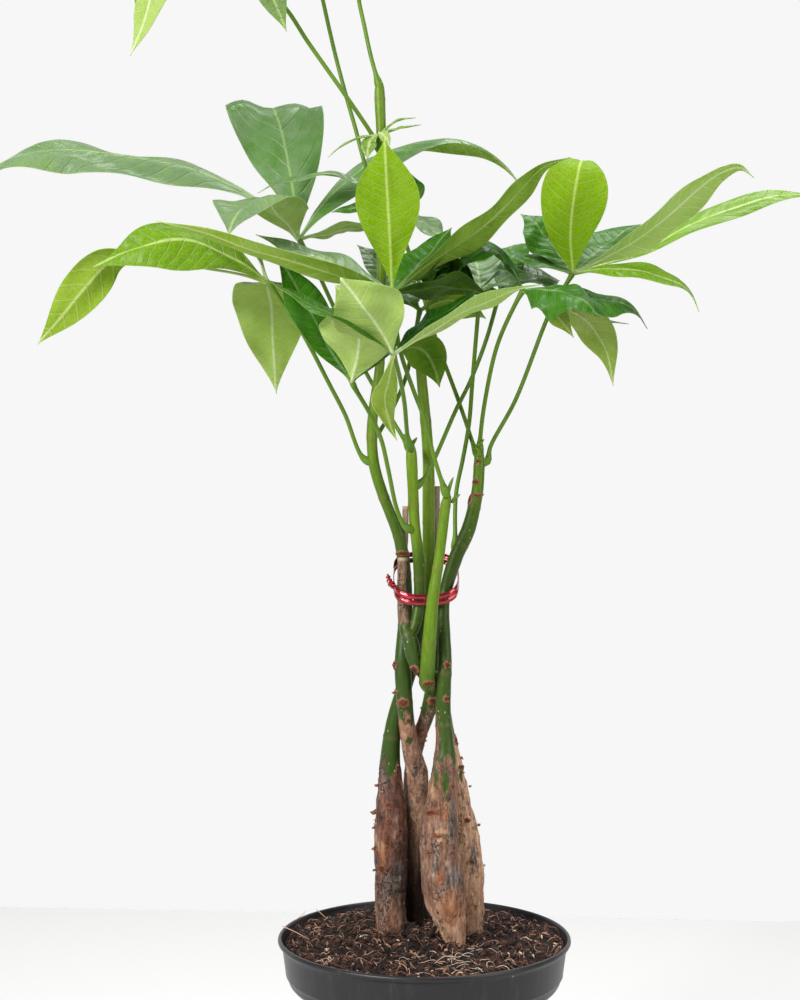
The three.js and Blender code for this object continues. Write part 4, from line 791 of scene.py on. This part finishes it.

# For each leaf: its stalk's path as [across, up, near], and its leaflets. A leaflet is the path of its
# midrib from the stalk's end, its width, the direction across it, its tint, partly its own colour and
# mostly painted light and shade, from dark and shaded at 0 to bright and sunlit at 1, and what else it
# departs in from the others.
LEAVES = {
    "leaf_middle": (
        [[13.5, 404, 22], [11.5, 409.5, 24], [6, 426.5, 30], [-0.5, 451, 36], [-6.5, 467, 41],
         [-13.5, 487.5, 48], [-17, 507, 54], [-18.5, 523.5, 58]], [
        ([[-20, 554, 66], [-22, 589, 74], [-23, 613, 76]], 36, [-1, 0, 0.05], 0.97, dict(peak=0.62)),
        ([[5, 542, 50], [33, 561, 42], [56, 583, 38], [69, 596, 36], [85, 602, 34]], 28,
         [-0.34, -0.9, 0.26], 0.4, dict(fold=0)),
        ([[-41, 535, 50], [-59, 542, 45], [-78, 549, 42], [-98, 557, 40]], 34, [0.17, 0.9, 0.42], 0.56, {}),
        ([[-55, 535, 72], [-95, 547, 84], [-131, 559, 92], [-156, 565, 96]], 22, [-0.23, 0.92, -0.29], 0.78,
         dict(peak=0.45)),
        ([[-5, 537, 40], [8, 552, 24], [16, 561, 15]], 30, [0.69, -0.62, -0.24], 0.3, {}),
        ([[3, 526, 48], [24, 526, 40], [38, 521, 36]], 34, [0.1, -0.97, 0.25], 0.12, {}),
    ]),
    "leaf_front": (
        [[-7.5, 431.5, 12], [-9.5, 438.5, 18], [-11.5, 459, 40], [-14.5, 475, 62], [-18, 488, 82]], [
        ([[-26, 502, 92], [-36, 516, 104], [-49, 532, 112]], 40, [-0.9, 0.25, -0.36], 0.62, {}),
        ([[-38, 503, 92], [-63, 515, 94], [-80, 524, 92], [-90, 530, 88]], 26, [0.15, 0.9, 0.25], 0.35, {}),
        ([[-4, 501, 80], [11, 511, 78], [31, 524, 74]], 30, [0.235, -0.925, -0.27], 0.12, {}),
        ([[9, 504, 92], [33, 517, 100], [53, 525, 106], [69, 528, 108]], 22, [-0.235, -0.95, 0.17], 0.62,
         {}),
        ([[-7, 492, 72], [1, 488, 64], [6, 479, 60], [9, 468, 58]], 22, [0.75, -0.1, 0.65], 0.24, {}),
        ([[-21, 473, 74], [-23, 460, 70], [-20, 446, 70], [-16, 437, 72]], 20, [0.6, 0.8, 0], 0.8, {}),
    ]),
    "leaf_lower_left": (
        [[-5.5, 384.5, 6], [-11.5, 387.5, 10], [-16, 397.5, 14], [-21, 420.5, 26], [-25, 437.5, 36],
         [-31.5, 452.5, 48], [-40, 467, 60], [-42, 471, 62]], [
        ([[-38, 496, 70], [-42, 516, 76], [-52, 528, 78]], 44, [-1, 0.1, 0], 0.62, {}),
        ([[-55, 490, 52], [-68, 515, 46], [-77, 531, 42], [-86, 545, 38]], 26, [0.8, 0.55, 0.38], 0.3, {}),
        ([[-33, 490, 40], [-27, 508, 24], [-23, 519, 14]], 30, [0.95, 0.2, 0.1], 0.3, {}),
    ]),
    "leaf_left": (
        [[-29.5, 423.5, -5], [-36, 427.5, -5], [-46, 452, 6], [-55, 469.5, 16], [-72, 501.5, 34],
         [-91, 529.5, 45]], [
        ([[-91, 527, 24], [-89, 515, 2], [-88, 493, -6], [-86, 464, -8]], 44, [1, 0, 0], 0.52,
         dict(fold=0.1, peak=0.42)),
        ([[-107, 534, 46], [-127.5, 537.5, 48], [-148, 541, 50], [-168, 544, 50], [-183, 541, 50],
         [-197.5, 526, 49], [-212, 508, 48], [-225, 493, 48]], 26, [0, 0.97, -0.2], 0.84,
         dict(tip=[0.7, 0.3, -0.62], twist=[0.42, 0.74], peak=0.74)),
        ([[-107, 541, 56], [-127, 551, 66], [-151, 553, 70], [-173, 547, 70], [-193, 538, 66]], 34,
         [0.1, 0.5, 0.85], 0.9, dict(fold=-0.1, wave=0.2)),
        ([[-97, 545, 48], [-107, 552, 50], [-122, 551, 52], [-136, 540, 52]], 14, [0.1, 0.9, 0.35], 0.5,
         {}),
    ]),
    "leaf_upper_left": (
        [[-7.5, 430.5, 6], [-14, 441.5, -4], [-20, 451.5, -9], [-26, 463, -12], [-33, 475, -13],
         [-49, 507, -14], [-65, 541, -13], [-73, 554.5, -10]], [
        ([[-76, 580, -22], [-82, 612, -44], [-88, 631, -62], [-88, 628, -82], [-86, 606, -98],
         [-83, 575, -104]], 60, [1, 0, 0], 0.48, dict(wave=0.16)),
        ([[-97, 577, -4], [-116, 587.5, 0], [-136, 595.5, 3], [-159.5, 599.5, 6], [-180, 603, 8],
         [-203, 607.5, 10], [-218, 607.5, 12], [-234, 604, 13], [-250, 596, 13], [-262, 584, 12],
         [-269, 568, 10]], 38, [0, 0.82, 0.57], 0.55, dict(fold=-0.2, peak=0.6, wave=0.16)),
        ([[-83, 568, 12], [-94, 576, 36], [-104, 574, 54], [-111, 565, 64], [-114, 556, 68]], 54,
         [-0.85, 0.45, 0.05], 0.58, dict(wave=0.14)),
        ([[-61, 572, -22], [-43, 590, -32], [-17, 606, -40], [8, 613, -46], [33, 607, -50], [47, 597, -52],
         [58, 583, -54]], 36, [0, -0.78, -0.62], 0.48, dict(tip=[0.15, -0.97, 0.1], twist=[0.35, 0.8],
         fold=-0.2, peak=0.5, wave=0.1)),
        ([[-57, 558, -14], [-39, 561, -18], [-23, 562, -22]], 30, [0, -1, 0.05], 0.55, {}),
    ]),
    "leaf_inner": (
        [[18, 372, 0], [18.5, 406, -4], [22.5, 426.5, -4], [26, 446.5, -2], [28, 471, 2], [30, 495.5, 6],
         [32.5, 524.5, 8]], [
        ([[18, 533, 10], [2, 537, 12], [-11, 533, 14]], 38, [0, 0.85, -0.5], 0.04, {}),
        ([[31, 537, -6], [27, 547, -18], [18, 554, -30]], 32, [0.95, 0.2, 0.1], 0.46, {}),
        ([[44, 530, 2], [56, 534, -2], [66, 533, -6]], 24, [0.2, -0.85, -0.45], 0.5, {}),
        ([[21, 531, 20], [10, 534, 26], [2, 524, 28]], 18, [0.1, 0.9, 0.35], 0.2, {}),
    ]),
    "leaf_right": (
        [[32, 424.5, 2], [36.5, 425, 1], [38.5, 433.5, 0], [53, 460.5, 0], [73.5, 512.5, 0], [82, 527, 0],
         [86.5, 534.5, 0]], [
        ([[85, 557, 6], [87, 578, 8], [90, 595, 4], [92, 600, -8], [94, 596, -20]], 39, [-1, 0, 0.1], 1,
         dict(fold=0.08, peak=0.52)),
        ([[118, 551, 8], [139, 566, 12], [158, 583, 14], [173, 593, 14], [184, 596, 13], [192, 590, 12]],
         28, [-0.35, -0.82, 0.43], 0.62, dict(fold=-0.12)),
        ([[126, 547, -10], [155, 562, -16], [181, 573, -20], [203, 579, -22], [229, 580, -24]], 30,
         [0.05, -0.85, -0.52], 0.91, dict(peak=0.66, wave=0.08)),
        ([[108, 537, 14], [131, 534, 24], [149, 528, 30], [156, 521, 32], [160, 512, 33]], 24,
         [0.1, -0.83, -0.5], 0.9, dict(peak=0.6)),
        ([[74, 551, -12], [65, 563, -18], [56, 569, -22]], 34, [0.725, 0.54, 0.39], 0.32, {}),
        ([[70, 540, -4], [56, 544, -6], [41, 548, -8]], 28, [0.1, 0.9, 0.4], 0.35, {}),
        ([[80, 550, -22], [71, 562, -34], [63, 566, -44]], 28, [0.3, 0.85, 0.4], 0.3, {}),
        ([[102, 548, -26], [115, 558, -44], [126, 563, -58]], 46, [0.6, -0.7, -0.3], 0.35, {}),
    ]),
    "leaf_lower_right": (
        [[32, 428, 2], [32.5, 437.5, 2], [35, 458, 6], [42.5, 492.5, 14], [53.5, 517.5, 20],
         [57.5, 524.5, 22]], [
        ([[72, 525, 36], [89, 521, 46], [102, 509, 50]], 44, [-0.2, -0.85, -0.5], 0.32,
         dict(fold=-0.2, wave=0.12)),
        ([[79, 523, 18], [99, 519, 17], [115, 517, 16], [124, 511, 15], [130, 502, 14]], 32,
         [0, -0.85, -0.5], 0.32, dict(fold=0)),
        ([[77, 517, 14], [97, 504, 10], [106, 490, 8], [110, 469, 8]], 28, [0.5, -0.8, 0.2], 0.74, {}),
        ([[70, 517, 24], [79, 508, 24], [87, 497, 24]], 14, [0.6, -0.7, 0.4], 0.4, {}),
        ([[49, 540, 24], [38, 548, 30], [26, 542, 35], [17, 532, 38]], 30, [0.1, 0.88, 0.45], 0.2, {}),
        ([[88, 512, 4], [105, 507, 0], [119, 505, -2]], 10, [0, -0.85, -0.4], 0.5, {}),
    ]),
    "leaf_behind": (
        [[32, 427, 0], [29, 433.5, -4], [24, 448.5, -8], [19.5, 461.5, -10], [14.5, 475, -12],
         [8, 492.5, -15], [-2.5, 527.5, -19], [-16.5, 568.5, -22]], [
        ([[-34, 585, -14], [-55, 592, -6], [-73, 590, -4], [-88, 586, -2], [-97, 581, 0]], 16,
         [0, 0.93, 0.35], 0.5, {}),
        ([[-29, 572, -19], [-42, 572, -17], [-54, 570, -15]], 18, [0, 0.8, 0.5], 0.35, {}),
        ([[-2, 564, -18], [7, 558, -14], [15, 553, -12]], 30, [0.2, -0.8, -0.55], 0.56, {}),
        ([[-14, 583, -34], [-12, 597, -46]], 30, [0.9, 0.3, 0.2], 0.4, {}),
    ]),
    "leaf_inner_right": (
        [[-6.5, 409, 8], [0, 415, 4], [6, 426.5, 2], [18.5, 455, -6], [26.5, 471, -8], [36, 495.5, -8],
         [44, 523.5, -8]], [
        ([[56, 531, -16], [70, 533, -26], [79, 530, -34]], 36, [0.2, -0.85, -0.45], 0.5, {}),
        ([[47, 541, -24], [50, 549, -40], [53, 551, -56]], 28, [0.9, 0.2, 0.3], 0.36, {}),
        ([[27, 529, -20], [12, 528, -27], [1, 524, -31]], 22, [0, 0.85, -0.4], 0.2, {}),
    ]),
    "leaf_inner_left": (
        [[-30.5, 439.5, -5], [-26, 442.5, -12], [-11.5, 471.5, -20], [-5.5, 498.5, -26], [-2.5, 513, -28]],
         [
        ([[-14, 528, -36], [-27, 541, -42], [-39, 551, -46]], 34, [0.5, 0.75, 0.4], 0.5, {}),
        ([[12, 519, -32], [27, 514, -34], [36, 508, -34]], 30, [0, -0.85, 0.5], 0.3, {}),
        ([[-10, 519, -14], [-11, 520, 0], [-8, 517, 14]], 18, [-0.95, -0.1, 0.1], 0.15, {}),
    ]),
    "leaf_top_left": (
        [[-25.5, 605, -3], [-29.5, 613.5, 0], [-45.5, 637.5, 6], [-68, 669.5, 10], [-79, 686.5, 12],
         [-98.5, 709.5, 12], [-123, 729.5, 10]], [
        ([[-141, 724, 20], [-154, 706, 26], [-162, 683, 28], [-171, 661, 28]], 26, [0.8, -0.5, 0.1], 0.65,
         {}),
        ([[-139, 728, 0], [-154, 717, -6], [-162, 699, -8], [-168, 682, -8]], 28, [0.6, 0.7, 0], 0.6, {}),
        ([[-107, 724, 24], [-94, 710, 30], [-87, 692, 30], [-80, 675, 30]], 26, [-0.8, -0.4, -0.3], 0.65,
         {}),
        ([[-142, 746, 0], [-165, 752, -6], [-191, 743, -10]], 38, [0, 0.9, 0.3], 0.6, {}),
        ([[-116, 755, -4], [-112, 774, -22]], 40, [1, 0, 0], 0.6, {}),
        ([[-98, 749, 14], [-72, 755, 18], [-52, 747, 20]], 34, [0, -0.9, -0.3], 0.6, {}),
    ]),
    "leaf_top_back": (
        [[-26, 569, -4], [-30, 584, -6], [-35, 599.5, -9], [-40, 618.5, -14], [-45, 636, -19],
         [-51.5, 660.5, -24], [-59, 693.5, -32], [-65, 723.5, -42]], [
        ([[-81, 739, -50], [-104, 738, -60], [-127, 720, -70]], 34, [0, 0.9, 0.3], 0.5, {}),
        ([[-69, 743, -70], [-72, 749, -100], [-74, 737, -128]], 38, [1, 0.1, 0], 0.5, {}),
        ([[-52, 747, -46], [-34, 761, -54], [-8, 756, -66]], 36, [0.5, -0.8, 0], 0.55, {}),
        ([[-72, 736, -10], [-79, 736, 20], [-84, 725, 44]], 32, [-0.9, -0.3, 0], 0.5, {}),
    ]),
    "leaf_top_right": (
        [[-25.5, 641, -3], [-31, 660.5, -4], [-35, 679, -6], [-38, 693.5, -8], [-40, 716.5, -12]], [
        ([[-23, 734, -8], [3, 739, -2], [33, 720, 4]], 36, [0, -0.9, -0.3], 0.55, {}),
        ([[-36, 732, 20], [-29, 732, 44], [-26, 720, 62]], 34, [-0.95, -0.2, 0], 0.6, {}),
        ([[-42, 743, -20], [-46, 768, -34]], 38, [1, 0, 0.05], 0.55, {}),
        ([[-23, 729, -40], [-5, 732, -62], [9, 720, -80]], 34, [0.5, -0.8, -0.1], 0.5, {}),
    ]),
    "leaf_young": (
        [[-25, 605, -2], [-25.5, 610, 3], [-26, 615, 6]], [
        ([[-22, 617, 8], [-14, 619, 9], [-2, 621, 9]], 7, [0, -0.9, -0.3], 0.7, {}),
        ([[-21, 620, 3], [-14, 624, 1], [-5, 625, 0]], 6, [0, -0.9, -0.3], 0.75, {}),
        ([[-38, 613.5, 9], [-49, 608, 10], [-56, 602, 11]], 6, [0, 0.9, 0.3], 0.7, {}),
        ([[-31, 612, 9], [-33, 606, 11], [-33, 601, 12]], 9, [-0.9, 0.1, 0], 0.75, {}),
        ([[-24, 615, 10], [-22, 613, 12], [-20, 609, 13]], 7, [0.6, -0.6, 0], 0.7, {}),
    ]),
}


def leaflet(start, rib, wide, right, tint, tip=None, twist=(0, 1), fold=BLADE_FOLD, peak=BLADE_PEAK,
            wave=0.1):
    """One blade. Its midrib is the smooth path through the rib's points. At a share s of the length the
    half width is sin(pi * s ** k) times 1 - 0.65 s ** 6, and at a share a across it stands off by fold
    times |a| minus a tenth of a squared, by waves of the margin and by the swelling between the side
    veins. The direction across turns from right to tip within twist. The faces close round the margin."""
    path = smooth_path(seen([start, *rib]), 200)
    length = steps(path).sum()
    rows = int(np.clip(length / BLADE_STEP, *BLADE_ROWS))
    path = smooth_path(seen([start, *rib]), rows)
    seed = int(1000 * abs(path[-1].sum())) % 100000
    own = np.random.default_rng(seed)
    s = np.linspace(0, 1, rows)[:, None]
    along = unit(np.gradient(path, axis=0))
    turn = ease(s, *twist)
    across = unit(right) * (1 - turn) + unit(tip or right) * turn
    across = unit(across - (across * along).sum(axis=1, keepdims=True) * along)
    upper = np.cross(across, along)
    oval = np.sin(np.pi * s ** (math.log(0.5) / math.log(peak))).clip(0, 1) * (1 - 0.65 * s ** 6)
    half = np.maximum(wide / 2 * oval, 0.9 * (1 - s) + 0.15)
    a = np.sin(np.linspace(-0.5 * np.pi, 0.5 * np.pi, BLADE_COLUMNS))
    run = s * length
    closer = VEIN_SPACING / np.clip(length / VEINS_LONG, VEIN_SPACING, VEIN_SPACING_MOST)
    side_vein = closer * run - 0.42 * np.abs(a) * half - 0.012 * (a * half) ** 2
    quilt = np.sin(np.pi * side_vein / VEIN_SPACING) ** 2
    sway = own.uniform(1.5, 3)
    shift = own.uniform(0, 1)
    ripple = np.sin(2 * np.pi * (s * sway + shift) + own.uniform(0, 3) * np.sign(a))
    lift = half * (fold * np.abs(a) - 0.1 * a ** 2 + wave * ripple * np.abs(a) ** 2.5)
    swing = np.sin(2 * np.pi * (1.6 * s + 0.7 * a) + own.uniform(0, 6))
    swing = swing + np.sin(2 * np.pi * (2.6 * s - 0.9 * a))
    lift = lift + 0.35 * wave * half * swing * (1 - (2 * s - 1) ** 4)
    lift = lift + 0.3 * (quilt - 0.5) * np.abs(a) * (1 - a ** 6) * np.minimum(half / 12, 1)
    thick = 0.2 + 0.7 * np.exp(-run / 5) - 0.09 * a ** 4
    keel = bell(a * half, 0, 0.55 + 0.5 * (1 - s)) * (0.75 * (1 - s) ** 0.6 + 0.12)
    groove = 0.12 * bell(a * half, 0, 0.6)
    middle = path[:, None] + across[:, None] * (a * half)[..., None]
    top = middle + upper[:, None] * (lift + thick - groove)[..., None]
    under = middle + upper[:, None] * (lift - thick - keel)[..., None]
    points = np.concatenate([top, under[:, ::-1]], axis=1)
    a_round = np.concatenate([a, a[::-1], a[:1]])
    uv = np.stack([a_round * half, np.broadcast_to(closer * run, (rows, len(a_round)))], axis=-1) * BLADE_UV
    edge = np.abs(a_round[:-1]) * np.ones((rows, 1))
    sides = [0] * len(a) + [1] * len(a)
    return {"points": points, "uv": uv, "faces": sides, "values": {"tint": tint, "margin": edge}}


def stalk(points, tint):
    """A leaf stalk: a slim rod, swollen where it joins the stem and where the leaflets join it."""
    places = seen(points)
    length = steps(places).sum()
    rows = max(int(length / STALK_STEP), 14)
    path = smooth_path(places, rows)
    run = np.linspace(0, length, rows)
    radius = 1.25 + 1.35 * bell(run, 3.5, 4.5) + 0.95 * np.exp(-(length - run) / 3.2)
    radius = radius * np.sqrt(np.clip((length - run + 0.4) / 1.6, 0, 1))
    path = path + 0.8 * ease(run, length - 3, length)[:, None] * unit(path[-1] - path[-2])
    return {"points": tube(path, radius, STALK_SIDES), "faces": 2, "values": {"tint": tint}}


def leaf_face(name, tones, glow, vein_tones, vein_share, gloss, dent, sheen, relief):
    """The finish of one face of a blade. The uv holds the distance from the midrib and the distance along
    it, in decimetres, the latter shortened on a long blade. Side veins are thin lines where the distance
    along, less 0.42 of the distance across and a bend, passes a multiple of the vein spacing. Light also
    comes through the blade, in the colours of glow."""
    material, tree = new_material(name)
    place = add(tree, "SeparateXYZ", Vector=add(tree, "UVMap", {"uv_map": "surface"}).outputs["UV"])
    spot = add(tree, "TexCoord").outputs["Object"]
    patchy = noise(tree, spot, 55, 5, 0.6)
    fine = noise(tree, spot, 700, 5, 0.7)
    uneven = calc(tree, "SUBTRACT", patchy, 0.5)
    away = calc(tree, "ABSOLUTE", place.outputs["X"])
    lag = calc(tree, "MULTIPLY", away, calc(tree, "MULTIPLY_ADD", away, 1.2, 0.42))
    lag = calc(tree, "MULTIPLY_ADD", uneven, -0.03, lag)
    phase = calc(tree, "SUBTRACT", place.outputs["Y"], lag)
    gap = calc(tree, "PINGPONG", phase, VEIN_SPACING * BLADE_UV / 2)
    side = spread(tree, gap, (0.001, 0.0048), (1, 0), "SMOOTHSTEP")
    rib = spread(tree, away, (0.003, 0.011), (1, 0), "SMOOTHSTEP")
    net = spread(tree, cells(tree, spot, 420), (0, 0.12), (0.22, 0))
    margin = spread(tree, point_value(tree, "margin"), (0.975, 1), (0, 0.6))
    tint = point_value(tree, "tint")
    varied = calc(tree, "MULTIPLY_ADD", uneven, 0.35, tint)
    veins = calc(tree, "MAXIMUM", calc(tree, "MULTIPLY", side, vein_share), net)
    pale = ramp(tree, tint, *vein_tones)
    tone = mix(tree, veins, ramp(tree, varied, *tones), pale)
    tone = mix(tree, calc(tree, "MAXIMUM", calc(tree, "MULTIPLY", rib, 0.9), margin), tone, pale)
    swell = calc(tree, "MULTIPLY_ADD", gap, 14.0, calc(tree, "MULTIPLY", fine, 0.2))
    swell = calc(tree, "MULTIPLY_ADD", side, dent, swell)
    normal = bump(tree, swell, relief, 0.9)
    dull = spread(tree, fine, (0, 1), (gloss - 0.06, gloss + 0.12))
    levels = [(0.2, 0.25), (0.35, 0.34), (0.5, 1.0), (0.78, 1.0), (0.88, 0.4)]
    shine = ramp(tree, tint, *[(at, sheen * level) for at, level in levels])
    shader = shade(tree, Base_Color=tone, Roughness=dull, Specular_IOR_Level=shine, Normal=normal)
    through = ramp(tree, varied, *glow)
    through = mix(tree, calc(tree, "MULTIPLY", calc(tree, "MAXIMUM", side, rib), 0.35), through, pale)
    passing = add(tree, "BsdfTranslucent", Color=through, Normal=normal)
    both = add(tree, "MixShader", in0=0.45, in1=shader.outputs["BSDF"], in2=passing.outputs["BSDF"])
    tree.links.new(both.outputs["Shader"], tree.nodes["Material Output"].inputs["Surface"])
    return material


# The tones of both faces, and the colours of the light let through, are painted light and shade by tint:
# dark where a leaflet is shaded, bright where it is lit. On the upper side the greyish middle tints are a
# painted sheen, the reflection of the white room.
leaf_top = leaf_face(
    "leaf_upper_side",
    tones=[(0, "0a2202"), (0.15, "1a4806"), (0.3, "3a7c04"), (0.42, "5a9038"), (0.55, "86a27a"),
           (0.7, "8aae48"), (0.85, "6f9c12"), (1, "86b018")],
    glow=[(0, "1c4204"), (0.3, "4f8e06"), (0.55, "84a848"), (0.8, "8cb818"), (1, "a0c814")],
    vein_tones=[(0.1, "3f7424"), (0.45, "a4c47c"), (0.7, "cfe29c"), (1, "d2e28c")],
    vein_share=0.42, gloss=0.2, dent=-0.8, sheen=0.36, relief=0.0006)
leaf_under = leaf_face(
    "leaf_under_side",
    tones=[(0, "182c06"), (0.2, "4f7812"), (0.35, "7ea022"), (0.5, "a8c850"), (0.65, "bcd672"),
           (0.8, "a2be3c"), (0.9, "92b424"), (1, "86b008")],
    glow=[(0, "142c02"), (0.3, "5f920c"), (0.55, "a0c444"), (0.8, "a2c240"), (1, "94be0c")],
    vein_tones=[(0.2, "6f9440"), (0.4, "c2d484"), (0.6, "eef6c8"), (0.85, "d8e890"), (1, "cfe07c")],
    vein_share=0.4, gloss=0.42, dent=0.7, sheen=0.14, relief=0.0004)

stalk_skin, tree = new_material("leaf_stalk")
spot = add(tree, "TexCoord").outputs["Object"]
uneven = calc(tree, "SUBTRACT", noise(tree, spot, 60, 3), 0.5)
varied = calc(tree, "MULTIPLY_ADD", uneven, 0.25, point_value(tree, "tint"))
tone = ramp(tree, varied, (0, "2f460f"), (0.5, "56781c"), (1, "8cac3a"))
shade(tree, Base_Color=tone, Roughness=0.38, Specular_IOR_Level=0.22)

for name, (stalk_points, blades) in LEAVES.items():
    patches = [stalk(stalk_points, STALK_TINT)]
    for rib, wide, right, tint, more in blades:
        patches.append(leaflet(stalk_points[-1], rib, wide, right, tint, **more))
    build(name + "_spray", patches, [leaf_top, leaf_under, stalk_skin], name)


# Stage, light and camera
# A pale table whose far edge lies well behind the pot, a white backdrop, and soft white light from
# all round with a broad lamp above on the left. The camera looks level, from in front.
TABLE_WHITE = (0.655, 0.655, 0.65, 1)
BACKDROP_WHITE = (0.915, 0.918, 0.915, 1)
ROOM_LIGHT = 0.25
LENS = 57.92
# Each lamp with its place, the place it is aimed at, its size in metres and its power in watts
LAMPS = [
    ("window_left", (-1.2, -1.3, 1.2), (0, 0, 0.4), 0.9, 49),
    ("fill_right", (1.5, -1.0, 1.0), (0, 0, 0.4), 1.2, 17),
    ("top_light", (0.3, 0.3, 1.9), (0, 0, 0.5), 1.0, 29),
]


def sheet_of(name, corners, material):
    """A flat stage piece with four corners, in metres."""
    mesh = bpy.data.meshes.new(name)
    mesh.from_pydata(corners, [], [(0, 1, 2, 3)])
    made = bpy.data.objects.new(name, mesh)
    bpy.context.scene.collection.objects.link(made)
    mesh.materials.append(material)
    return made


table_white, tree = new_material("table_white")
shade(tree, Base_Color=TABLE_WHITE, Roughness=0.6)
sheet_of("table_top", [(-2.5, -1.6, 0), (2.5, -1.6, 0), (2.5, 0.444, 0), (-2.5, 0.808, 0)], table_white)
backdrop_white, tree = new_material("backdrop_white")
shade(tree, Base_Color=(0, 0, 0, 1), Emission_Color=BACKDROP_WHITE, Emission_Strength=1.0, Roughness=0.9)
backdrop_corners = [(-4, 2.4, -1.5), (4, 2.4, -1.5), (4, 2.4, 3.5), (-4, 2.4, 3.5)]
backdrop = sheet_of("backdrop", backdrop_corners, backdrop_white)
backdrop.visible_diffuse = False

scene = bpy.context.scene
scene.view_settings.view_transform = "Standard"
scene.world = bpy.data.worlds.new("soft_white_room")
scene.world.use_nodes = True
room = scene.world.node_tree.nodes["Background"]
room.inputs["Color"].default_value = (1, 1, 1, 1)
room.inputs["Strength"].default_value = ROOM_LIGHT

for name, place, aim, size, power in LAMPS:
    lamp = bpy.data.lights.new(name, "AREA")
    lamp.size = size
    lamp.energy = power
    holder = bpy.data.objects.new(name, lamp)
    scene.collection.objects.link(holder)
    holder.location = place
    towards = np.array(aim) - np.array(place)
    flat_run = math.hypot(towards[0], towards[1])
    holder.rotation_euler = (math.atan2(flat_run, -towards[2]), 0, math.atan2(-towards[0], towards[1]))

camera = bpy.data.cameras.new("camera")
camera.sensor_fit = "VERTICAL"
camera.sensor_height = 36
camera.lens = LENS
camera.clip_end = 20
viewer = bpy.data.objects.new("camera", camera)
scene.collection.objects.link(viewer)
viewer.location = (EYE_X * 0.001, EYE_Y * 0.001, EYE_Z * 0.001)
viewer.rotation_euler = (math.pi / 2, 0, 0)
scene.camera = viewer
